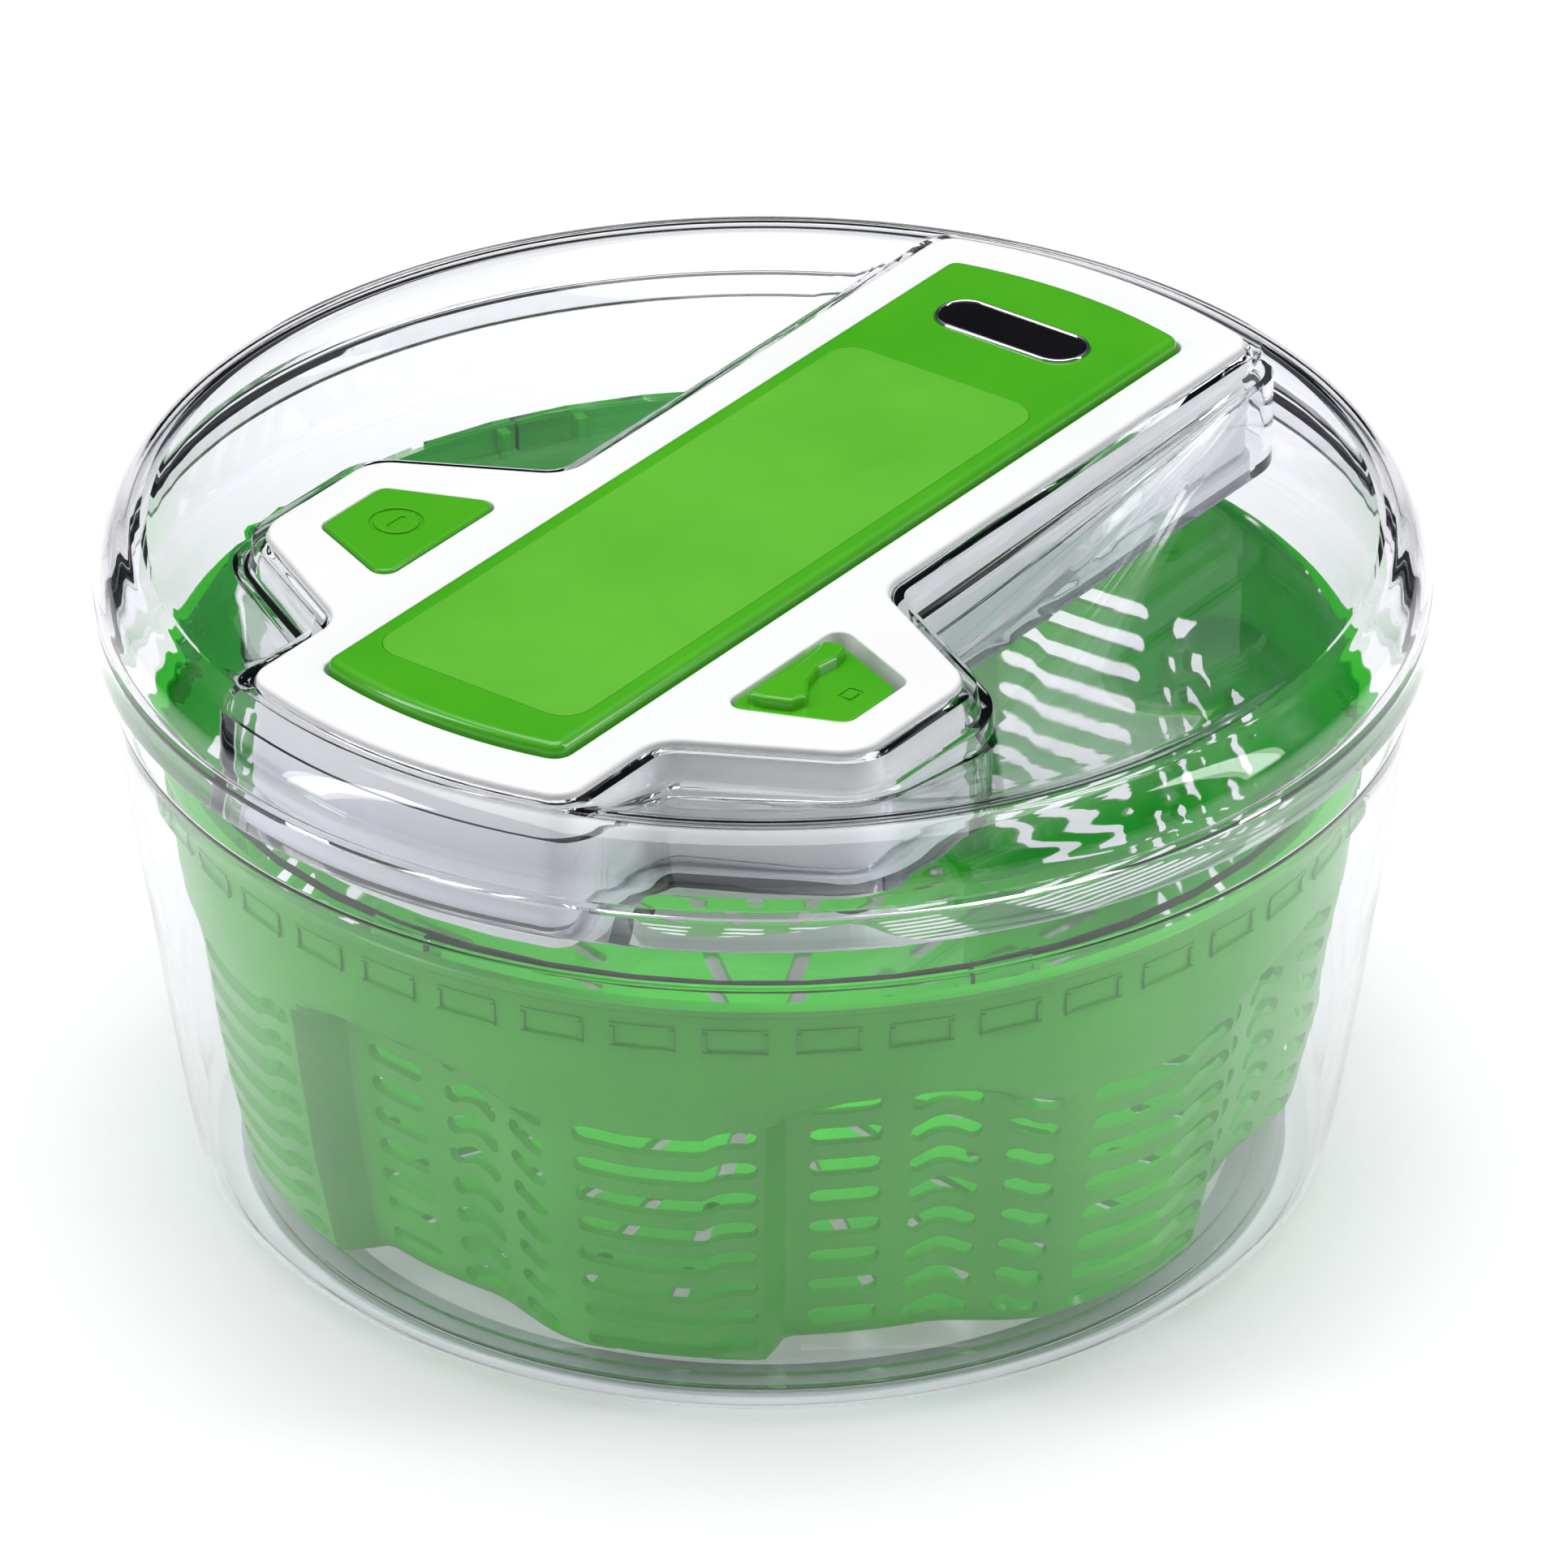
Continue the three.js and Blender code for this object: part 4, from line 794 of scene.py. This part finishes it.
def stop_button():
    s = Surface()
    plan = lambda g: button_plan(1, g)
    top, wall = s.edge(plan, STOP_TOP, 0.7)
    lip, ring_wall = s.edge(sunk_circle(RING_OUTER), STOP_TOP, -0.12, steps=2)
    low_out = s.strip(ring_wall, s.ring(sunk_circle(RING_OUTER)(0), STOP_TOP - RING_DEPTH))
    low_in = s.ring(sunk_circle(RING_INNER)(0), STOP_TOP - RING_DEPTH)
    s.strip(low_out, low_in)
    isle, isle_wall = s.edge(sunk_circle(RING_INNER), STOP_TOP, 0.12, steps=2)
    s.strip(low_in, isle_wall)
    bar = lambda g: box_plan(EAR_X - 2.6, EAR_X + 2.6, STOP_Y - 0.7, STOP_Y + 0.7, 0.5, g, 4)
    bar_lip, bar_wall = s.edge(bar, STOP_TOP, -0.1, steps=2)
    s.fill(s.strip(bar_wall, s.ring(bar(0), STOP_TOP - 0.4)))
    s.fill(isle, [bar_lip])
    s.fill(top, [lip])
    foot, foot_wall = s.edge(plan, STOP_TOP - 3.3, 0.3, sign=1, steps=2)
    s.strip(wall, foot_wall)
    s.fill(foot)
    stem = Surface()
    stem_top = STOP_TOP - 3.4
    profile = [(0, STEM_FOOT), (STEM_RADIUS - 0.2, STEM_FOOT), (STEM_RADIUS, STEM_FOOT + 0.2)]
    lathe(stem, [*profile, (STEM_RADIUS, stem_top), (0, stem_top)], 48)
    n = len(s.points)
    s.points += [(x + EAR_X, y + STOP_Y, z) for x, y, z in stem.points]
    s.faces += [tuple(n + i for i in f) for f in stem.faces]
    return finish_object("brake_button_green", s, GREEN, "stop_body", ["stop_button"])


stop_button()


def lock_button():
    s = Surface()
    plan = lambda g: button_plan(-1, g, 2.8)
    top, wall = s.edge(plan, LOCK_TOP, 0.5)
    body = lambda g: box_plan(EAR_X - 2.2, EAR_X + 2.2, -58.6, -55.2, 0.7, g, 4)
    lip, low = s.edge(body, LOCK_TOP, -0.1, steps=2)
    low = s.strip(low, s.ring(body(0), LOCK_TOP - 0.35))
    inner = s.ring(body(-0.6), LOCK_TOP - 0.35)
    s.strip(low, inner)
    isle = s.strip(inner, s.ring(body(-0.6), LOCK_TOP))
    s.fill(isle)
    s.fill(top, [lip])
    foot, foot_wall = s.edge(plan, LOCK_TOP - 3, 0.3, sign=1, steps=2)
    s.strip(wall, foot_wall)
    s.fill(foot)
    fin = [(-63, -42.6), (-58, -43.6), (-50, -44.6), (-42, -44), (-38, -42.8), (-37.4, -48.2)]
    fin += [(-42, -48.9), (-47, -48.2), (-52, -49.6), (-57, -53), (-60.5, -52), (-62.6, -47)]
    clockwise = sum(a[0] * b[1] - b[0] * a[1] for a, b in zip(fin, fin[1:] + fin[:1])) < 0
    ordered = [(x, y, 1.2) for x, y in (fin[::-1] if clockwise else fin)]
    fin_plan = lambda g: rounded(grown(ordered, g), 4)
    fin_flat, fin_wall = s.edge(fin_plan, LOCK_TOP + FIN_HEIGHT, 0.9)
    s.fill(fin_flat)
    fin_base = s.strip(fin_wall, s.ring(fin_plan(0), LOCK_TOP - 0.4))
    s.fill(fin_base)
    return finish_object("lock_button_green", s, GREEN, "lock_body", ["lock_slider"])


lock_button()

# %% [markdown]
# ## The basket
# Seven equal lobes make the basket. Each stands proud over half its width, drops at a crisp fold
# into a pocket, and climbs back slowly. One lobe is drawn flat, as arc length against height, with
# its round-ended slots as holes; then `basket_radius` bends it to shape.

# %% Basket shape
LOBES = 7
LOBE_START = 0.92
LOBE_WIDTH = 94.0
SLOT_HEIGHT = 4.0
ROW_PITCH = 7.3
ROWS = 8
LOBE_TURN = math.radians(-5)
BASKET_WALL = 1.8
BOTTOM_ROUND = 3.5
RELIEF_COUNT = 42
DRAIN_ROWS = ((14, 22, 44), (28, 50, 68), (28, 74, 90))
DRAIN_HALF = 1.7
RIB_PAIRS, RIB_SPREAD, RIB_HALF = 6, 8.4, 1.1
RIB_FROM, RIB_TO, RIB_LOW, RIB_HIGH = 112.5, 116.4, 91.5, 97.4
WELD = 1e-5


def basket_radius(phase, z):
    z = np.asarray(z, float)
    u = np.mod(phase, 1.0)
    plain = np.interp(z, [BASKET_FLOOR, 33, 60, 86, BASKET_TOP], [105, 110, 114, 117, 118])
    pocket = soft_step(u, 0.31, 0.37) * (1 - soft_step(u, 0.66, 0.96))
    side = np.clip(np.abs(u - 0.56) / 0.26, 0, 1)
    ledge = 73 - 9 * (1 - np.sqrt(1 - 0.96 * side ** 2))
    depth = np.interp(z, [BASKET_FLOOR, 60], [8.4, 10.5]) * (1 - soft_step(z, ledge - 3, ledge + 2.5))
    foot = np.clip(BOTTOM_ROUND - (z - BASKET_FLOOR), 0, BOTTOM_ROUND)
    return plain - pocket * depth - (BOTTOM_ROUND - np.sqrt(BOTTOM_ROUND ** 2 - foot ** 2))


def slot_outline(start, end, z, bend, cap=4, run=12):
    """A round-ended slot whose middle line follows bend(0..1)."""
    half = SLOT_HEIGHT / 2
    x0, x1 = start * LOBE_WIDTH + half, end * LOBE_WIDTH - half
    xs = np.linspace(x0, x1, run)
    zs = z + bend(np.linspace(0, 1, run))
    low = [(x, h - half) for x, h in zip(xs, zs)]
    high = [(x, h + half) for x, h in zip(xs, zs)][::-1]
    right = [
        (x1 + half * math.cos(a), zs[-1] + half * math.sin(a))
        for a in (-math.pi / 2 + math.pi * k / cap for k in range(1, cap))
    ]
    left = [
        (x0 - half * math.cos(a), zs[0] - half * math.sin(a))
        for a in (-math.pi / 2 + math.pi * k / cap for k in range(1, cap))
    ]
    return low + right + high + left


COLUMNS = [
    (0.955, 1.305, 13.5, lambda t: 2.6 * soft_step(t, 0.70, 0.88) - 0.8 * soft_step(t, 0.0, 0.3)),
    (1.405, 1.560, 16.0, lambda t: 0 * t),
    (1.615, 1.760, 14.5, lambda t: 1.6 * np.sin(math.pi * t)),
    (1.800, 1.895, 15.5, lambda t: -1.4 * soft_step(t, 0.0, 0.8)),
]


def basket_lobe():
    x0, x1 = LOBE_START * LOBE_WIDTH, (LOBE_START + 1) * LOBE_WIDTH
    levels = np.array([0, 0.8, 1.8, 3.5, *np.linspace(6.5, 54, 15), *np.linspace(56, 68, 10),
                       *np.linspace(71, BASKET_TOP - BASKET_FLOOR, 7)]) + BASKET_FLOOR
    phases = np.linspace(0, 1, 49)[1:-1]
    across = [x0 + (x1 - x0) * p for p in phases]
    border = [(x0, z) for z in levels[::-1]] + [(x, levels[0]) for x in across]
    border += [(x1, z) for z in levels] + [(x, levels[-1]) for x in across[::-1]]
    slots = [
        slot_outline(a, b, z0 + row * ROW_PITCH, bend)
        for a, b, z0, bend in COLUMNS for row in range(ROWS)
    ]
    grid = np.array([(x, z) for x in across for z in levels[1:-1]])
    blocked = np.zeros(len(grid), bool)
    for slot in slots:
        s = np.array(slot)
        middle = s.mean(0)
        near = middle + (grid - middle) / np.array([1.03, 1.35])
        blocked |= inside(near, slot)
    verts, faces, _ = triangulate([border, *slots], [tuple(p) for p in grid[~blocked]])
    flat = np.array([v[:] for v in verts])
    centres = flat[np.array(faces)].mean(1)
    keep = inside(centres, border)
    for slot in slots:
        keep &= ~inside(centres, slot)
    phase = flat[:, 0] / LOBE_WIDTH
    radius = basket_radius(phase, flat[:, 1])
    angle = phase * 2 * math.pi / LOBES + LOBE_TURN
    mesh = bpy.data.meshes.new("basket_lobe")
    points = np.stack([radius * np.cos(angle), radius * np.sin(angle), flat[:, 1]], 1) * MM
    mesh.from_pydata(points.tolist(), [], [f for f, k in zip(faces, keep) if k])
    return mesh


lobe = basket_lobe()
print("lobe faces", len(lobe.polygons))

# %% [markdown]
# The lobe repeats round the axis, so Geometry Nodes makes the ring of seven. All the points lie on
# the axis, and each instance takes its turn from its own index. The same
# tree makes the forty-two shallow frames under the rim. Its result is turned into a plain mesh.

# %% Repeat round the axis


def round_tree():
    tree = bpy.data.node_groups.new("repeat_round_axis", "GeometryNodeTree")
    tree.interface.new_socket("Piece", in_out="INPUT", socket_type="NodeSocketGeometry")
    tree.interface.new_socket("Count", in_out="INPUT", socket_type="NodeSocketInt")
    tree.interface.new_socket("Finish", in_out="INPUT", socket_type="NodeSocketMaterial")
    tree.interface.new_socket("Ring", in_out="OUTPUT", socket_type="NodeSocketGeometry")
    given = add(tree, "NodeGroupInput")
    points = add(tree, "GeometryNodePoints", {}, {"Count": given.outputs["Count"]})
    index = add(tree, "GeometryNodeInputIndex")
    share = add(
        tree, "ShaderNodeMath", {"operation": "DIVIDE"}, {0: index.outputs[0], 1: given.outputs["Count"]},
    )
    turn = add(tree, "ShaderNodeMath", {"operation": "MULTIPLY", 1: 2 * math.pi}, {0: share.outputs[0]})
    rotation = add(tree, "ShaderNodeCombineXYZ", {}, {"Z": turn.outputs[0]})
    placed = add(
        tree, "GeometryNodeInstanceOnPoints", {},
        {"Points": points.outputs[0], "Instance": given.outputs["Piece"], "Rotation": rotation.outputs[0]},
    )
    real = add(tree, "GeometryNodeRealizeInstances", {}, {0: placed.outputs[0]})
    joined = add(tree, "GeometryNodeMergeByDistance", {"Distance": 5e-6}, {"Geometry": real.outputs[0]})
    painted = add(
        tree, "GeometryNodeSetMaterial", {},
        {"Geometry": joined.outputs[0], "Material": given.outputs["Finish"]},
    )
    add(tree, "NodeGroupOutput", {}, {"Ring": painted.outputs[0]})
    return tree


ROUND = round_tree()


def repeated(name, mesh, count, material):
    source = bpy.data.objects.new(name, mesh)
    bpy.context.scene.collection.objects.link(source)
    modifier = source.modifiers.new("ring", "NODES")
    modifier.node_group = ROUND
    names = {i.name: i.identifier for i in ROUND.interface.items_tree if i.in_out == "INPUT"}
    modifier[names["Count"]] = count
    modifier[names["Finish"]] = material
    bpy.context.view_layer.update()
    graph = bpy.context.evaluated_depsgraph_get()
    result = bpy.data.meshes.new_from_object(source.evaluated_get(graph))
    bpy.data.objects.remove(source)
    return result


walls = repeated("basket_walls", lobe, LOBES, BASKET_GREEN)
print("walls", len(walls.polygons))

# %% [markdown]
# The floor closes the lobes along their own lower edge and has rings of drain slots. Walls and
# floor are given their thickness together, and the rim, the pivot cup and the ribs that the drive
# plate pushes are added as closed pieces of the same moulding.

# %% Basket floor, rim and ribs


def turned_by(plan, a):
    return [(x * math.cos(a) - y * math.sin(a), x * math.sin(a) + y * math.cos(a)) for x, y in plan]


def basket():
    bm = bmesh.new()
    bm.from_mesh(walls)
    bmesh.ops.remove_doubles(bm, verts=bm.verts, dist=WELD)
    bottom = [v for v in bm.verts if abs(v.co.z / MM - BASKET_FLOOR) < 0.01]
    bottom.sort(key=lambda v: math.atan2(v.co.y, v.co.x))
    loop = [(v.co.x / MM, v.co.y / MM) for v in bottom]
    slots = []
    for count, r0, r1 in DRAIN_ROWS:
        for i in range(count):
            a = 2 * math.pi * i / count
            plan = box_plan(r0, r1, -DRAIN_HALF, DRAIN_HALF, DRAIN_HALF - 0.05, 0, 4)
            slots.append(turned_by(plan, a))
    verts, faces, _ = triangulate([loop, *slots], circle(12, 20) + circle(47, 60) + circle(71, 90))
    flat = np.array([v[:] for v in verts])
    centres = flat[np.array(faces)].mean(1)
    keep = inside(centres, loop)
    for slot in slots:
        keep &= ~inside(centres, slot)
    made = [bm.verts.new((x * MM, y * MM, BASKET_FLOOR * MM)) for x, y in flat]
    for f, k in zip(faces, keep):
        if k:
            bm.faces.new([made[i] for i in f])
    bmesh.ops.remove_doubles(bm, verts=bm.verts, dist=WELD)
    loose = [v for v in bm.verts if not v.link_faces]
    bmesh.ops.delete(bm, geom=loose, context="VERTS")
    bmesh.ops.recalc_face_normals(bm, faces=bm.faces)
    wall_face = max(bm.faces, key=lambda f: f.calc_center_median().length)
    centre = wall_face.calc_center_median()
    if wall_face.normal.dot(Vector((centre.x, centre.y, 0))) < 0:
        bmesh.ops.reverse_faces(bm, faces=bm.faces)
    mesh = bpy.data.meshes.new("basket_skin")
    bm.to_mesh(mesh)
    bm.free()
    skin_object = bpy.data.objects.new("basket_skin", mesh)
    bpy.context.scene.collection.objects.link(skin_object)
    thick = skin_object.modifiers.new("wall", "SOLIDIFY")
    thick.thickness, thick.offset, thick.use_even_offset = BASKET_WALL * MM, -1, False
    bpy.context.view_layer.update()
    graph = bpy.context.evaluated_depsgraph_get()
    full = bpy.data.meshes.new_from_object(skin_object.evaluated_get(graph))
    bpy.data.objects.remove(skin_object)

    extra = Surface()
    top = BASKET_TOP
    lathe(extra, [(115.9, top - 2.2), (118.6, top - 2.2), (119, top - 1.8), (119, top - 0.4), (118.6, top),
                  (116.3, top), (115.9, top - 0.4), (115.9, top - 2.2)])
    lathe(extra, [(3.7, 4.6), (6, 4.6), (6.3, 5), (6.3, 9.7), (3.7, 9.7), (3.7, 4.6)], 40)
    for i in range(RIB_PAIRS):
        for side in (-1, 1):
            a = 2 * math.pi * i / RIB_PAIRS
            y = side * RIB_SPREAD
            plan = box_plan(RIB_FROM, RIB_TO, y - RIB_HALF, y + RIB_HALF, 0.5, 0, 3)
            turned = turned_by(plan, a)
            low, high = extra.ring(turned, RIB_LOW), extra.ring(turned, RIB_HIGH)
            extra.fill(low)
            extra.strip(low, high)
            extra.fill(high)
    add_mesh = bpy.data.meshes.new("basket_extra")
    add_mesh.from_pydata([tuple(c * MM for c in p) for p in extra.points], [], extra.faces)
    both = bmesh.new()
    both.from_mesh(add_mesh)
    bmesh.ops.remove_doubles(both, verts=both.verts, dist=1e-6)
    bmesh.ops.recalc_face_normals(both, faces=both.faces)
    both.from_mesh(full)
    both.from_mesh(relief_frames())
    final = bpy.data.meshes.new("basket_green")
    both.to_mesh(final)
    both.free()
    obj = bpy.data.objects.new("basket_green", final)
    bpy.context.scene.collection.objects.link(obj)
    return dress(obj, BASKET_GREEN, "basket_body", ["basket"], smooth=35)


def relief_frames():
    """Forty-two shallow rectangles stand out from the wall just under the rim."""
    s = Surface()
    half, z0, z1, r, width, proud, sunk = 6.2, 86.6, 92.6, 117.35, 0.9, 0.45, 1
    bars = [
        (-half, half, z0, z0 + width), (-half, half, z1 - width, z1),
        (-half, -half + width, z0 + width, z1 - width), (half - width, half, z0 + width, z1 - width),
    ]
    for y0, y1, low, high in bars:
        steps = 4 if y1 - y0 > 2 else 1
        ys = np.linspace(y0, y1, steps + 1)
        section = []
        for y in ys:
            a = y / r
            n = len(s.points)
            sides = ((r - sunk, low), (r + proud, low + 0.2), (r + proud, high - 0.2), (r - sunk, high))
            for radius, z in sides:
                s.points.append((radius * math.cos(a), radius * math.sin(a), z))
            section.append([n, n + 1, n + 2, n + 3])
        for a, b in zip(section, section[1:]):
            for k in range(4):
                s.faces.append((a[k], a[(k + 1) % 4], b[(k + 1) % 4], b[k]))
        s.faces += [tuple(section[0]), tuple(section[-1][::-1])]
    mesh = bpy.data.meshes.new("relief")
    mesh.from_pydata([tuple(c * MM for c in p) for p in s.points], [], s.faces)
    bm = bmesh.new()
    bm.from_mesh(mesh)
    bmesh.ops.recalc_face_normals(bm, faces=bm.faces)
    bm.to_mesh(mesh)
    bm.free()
    return repeated("relief_frames", mesh, RELIEF_COUNT, BASKET_GREEN)


basket()

# %% [markdown]
# ## Stage, light and camera
# A pale floor, one large soft light above, and two long strips that draw the bright lines along the
# lid's shoulder. The sky is dark up to 30 degrees and white overhead: the flat clear faces mirror
# its dark part, so they stay clear and the green behind them stays deep.

# %% Stage and light
FLOOR_HALF, FLOOR_EMISSION = 6.0, 0.24
STRIP_WIDTH, STRIP_LENGTH, STRIP_POWER = 0.24, 1.2, 6
SOFTBOX_SIZE, SOFTBOX_POWER = 1.2, 12.5
LAMP_POWER, LAMP_RADIUS, LAMP_HEIGHT, LAMP_COLOUR = 0.6, 0.085, 0.058, (0.98, 1.0, 0.62)
SKY_DARK_TO, SKY_WHITE_FROM, SKY_STRENGTH = 0.5, 0.92, 0.7


def stage():
    material, tree, place = start("studio_floor_matt_paper")
    shader = add(
        tree, "ShaderNodeBsdfPrincipled",
        {
            "Roughness": 0.9, "Specular IOR Level": 0.1,
            "Emission Color": linear("#FFFFFF"), "Emission Strength": FLOOR_EMISSION,
        },
        {"Base Color": mottle(tree, place, 300, "#F6F6F8", "#FAFAFB"), "Normal": skin(tree, place, 2, 0.02)},
    )
    output(tree, shader.outputs[0])
    mesh = bpy.data.meshes.new("floor")
    size = FLOOR_HALF
    corners = [(-size, -size, 0), (size, -size, 0), (size, size, 0), (-size, size, 0)]
    mesh.from_pydata(corners, [], [(0, 1, 2, 3)])
    mesh.materials.append(material)
    floor = bpy.data.objects.new("floor", mesh)
    floor.location.z = cad_low.z - 0.0002
    bpy.context.scene.collection.objects.link(floor)


def area_light(name, place, aim, width, height, power):
    data = bpy.data.lights.new(name, "AREA")
    data.shape, data.size, data.size_y, data.energy = "RECTANGLE", width, height, power
    light = bpy.data.objects.new(name, data)
    light.location = place
    light.rotation_euler = (Vector(aim) - Vector(place)).to_track_quat("-Z", "Y").to_euler()
    bpy.context.scene.collection.objects.link(light)


AZIMUTH, ELEVATION, DISTANCE = math.radians(-53.3), math.radians(30.4), 2.29
back = Vector((
    math.sin(AZIMUTH) * math.cos(ELEVATION), -math.cos(AZIMUTH) * math.cos(ELEVATION), math.sin(ELEVATION),
))
right = Vector((math.cos(AZIMUTH), math.sin(AZIMUTH), 0))
away = Vector((-back.x, -back.y, 0)).normalized()
middle = (cad_low + cad_high) / 2

stage()
softbox_at = middle + Vector((0, 0, 1.5)) + away * 0.2
left_at = middle - right * 1.3 - away * 0.3 + Vector((0, 0, 0.8))
right_at = middle + right * 1.4 - away * 0.1 + Vector((0, 0, 0.7))
area_light("top_softbox", softbox_at, middle, SOFTBOX_SIZE, SOFTBOX_SIZE, SOFTBOX_POWER)
area_light("left_strip", left_at, middle, STRIP_WIDTH, STRIP_LENGTH, STRIP_POWER)
area_light("right_strip", right_at, middle, STRIP_WIDTH, STRIP_LENGTH, STRIP_POWER)

# Tinted plastic passes light round and round inside the basket. A few bounces lose most of it,
# so a weak round lamp in the basket gives back the glow that shows through the slots.
lamp = bpy.data.lights.new("basket_glow", "POINT")
lamp.energy, lamp.shadow_soft_size, lamp.color = LAMP_POWER, LAMP_RADIUS, LAMP_COLOUR
inner_light = bpy.data.objects.new("basket_glow", lamp)
inner_light.location = (0, 0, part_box("basket")[0].z + LAMP_HEIGHT)
inner_light.visible_camera = inner_light.visible_glossy = inner_light.visible_transmission = False
bpy.context.scene.collection.objects.link(inner_light)

world = bpy.data.worlds.new("studio")
world.use_nodes = True
bpy.context.scene.world = world
sky = world.node_tree
sky.nodes.clear()
ray = add(sky, "ShaderNodeTexCoord").outputs["Generated"]
height = add(sky, "ShaderNodeSeparateXYZ", {}, {"Vector": ray}).outputs["Z"]
ramp = add(sky, "ShaderNodeValToRGB", {}, {"Fac": height})
dark_stop, white_stop = ramp.color_ramp.elements
dark_stop.position, white_stop.position = SKY_DARK_TO, SKY_WHITE_FROM
dark_stop.color, white_stop.color = linear("#4C505A"), linear("#FFFFFF")
glow = add(sky, "ShaderNodeBackground", {"Strength": SKY_STRENGTH}, {"Color": ramp.outputs["Color"]})
print("lights", len(bpy.data.lights), "sky strength", SKY_STRENGTH)
add(sky, "ShaderNodeOutputWorld", {}, {"Surface": glow.outputs[0]})

# %% [markdown]
# The camera is a long lens well back, so that the round lid keeps its true ellipse. Many clear
# walls lie one behind the other, so light needs a dozen bounces to come through them all.

# %% Camera
FOCAL_LENGTH, SENSOR_WIDTH, FAR_CLIP = 268, 36, 20
AIM_SHIFT = Vector((0.0024, -0.0033, 0.0054))
BOUNCES, CLEAR_BOUNCES = 12, 20
camera_data = bpy.data.cameras.new("camera")
camera_data.lens, camera_data.sensor_width = FOCAL_LENGTH, SENSOR_WIDTH
camera_data.clip_end = FAR_CLIP
camera = bpy.data.objects.new("camera", camera_data)
aim = middle + AIM_SHIFT
camera.location = aim + back * DISTANCE
camera.rotation_euler = (-back).to_track_quat("-Z", "Y").to_euler()
bpy.context.scene.collection.objects.link(camera)
bpy.context.scene.camera = camera
bpy.context.scene.view_settings.view_transform = "Standard"
bpy.context.scene.cycles.max_bounces = BOUNCES
bpy.context.scene.cycles.transmission_bounces = BOUNCES
bpy.context.scene.cycles.transparent_max_bounces = CLEAR_BOUNCES
print("camera at", [round(v, 3) for v in camera.location])
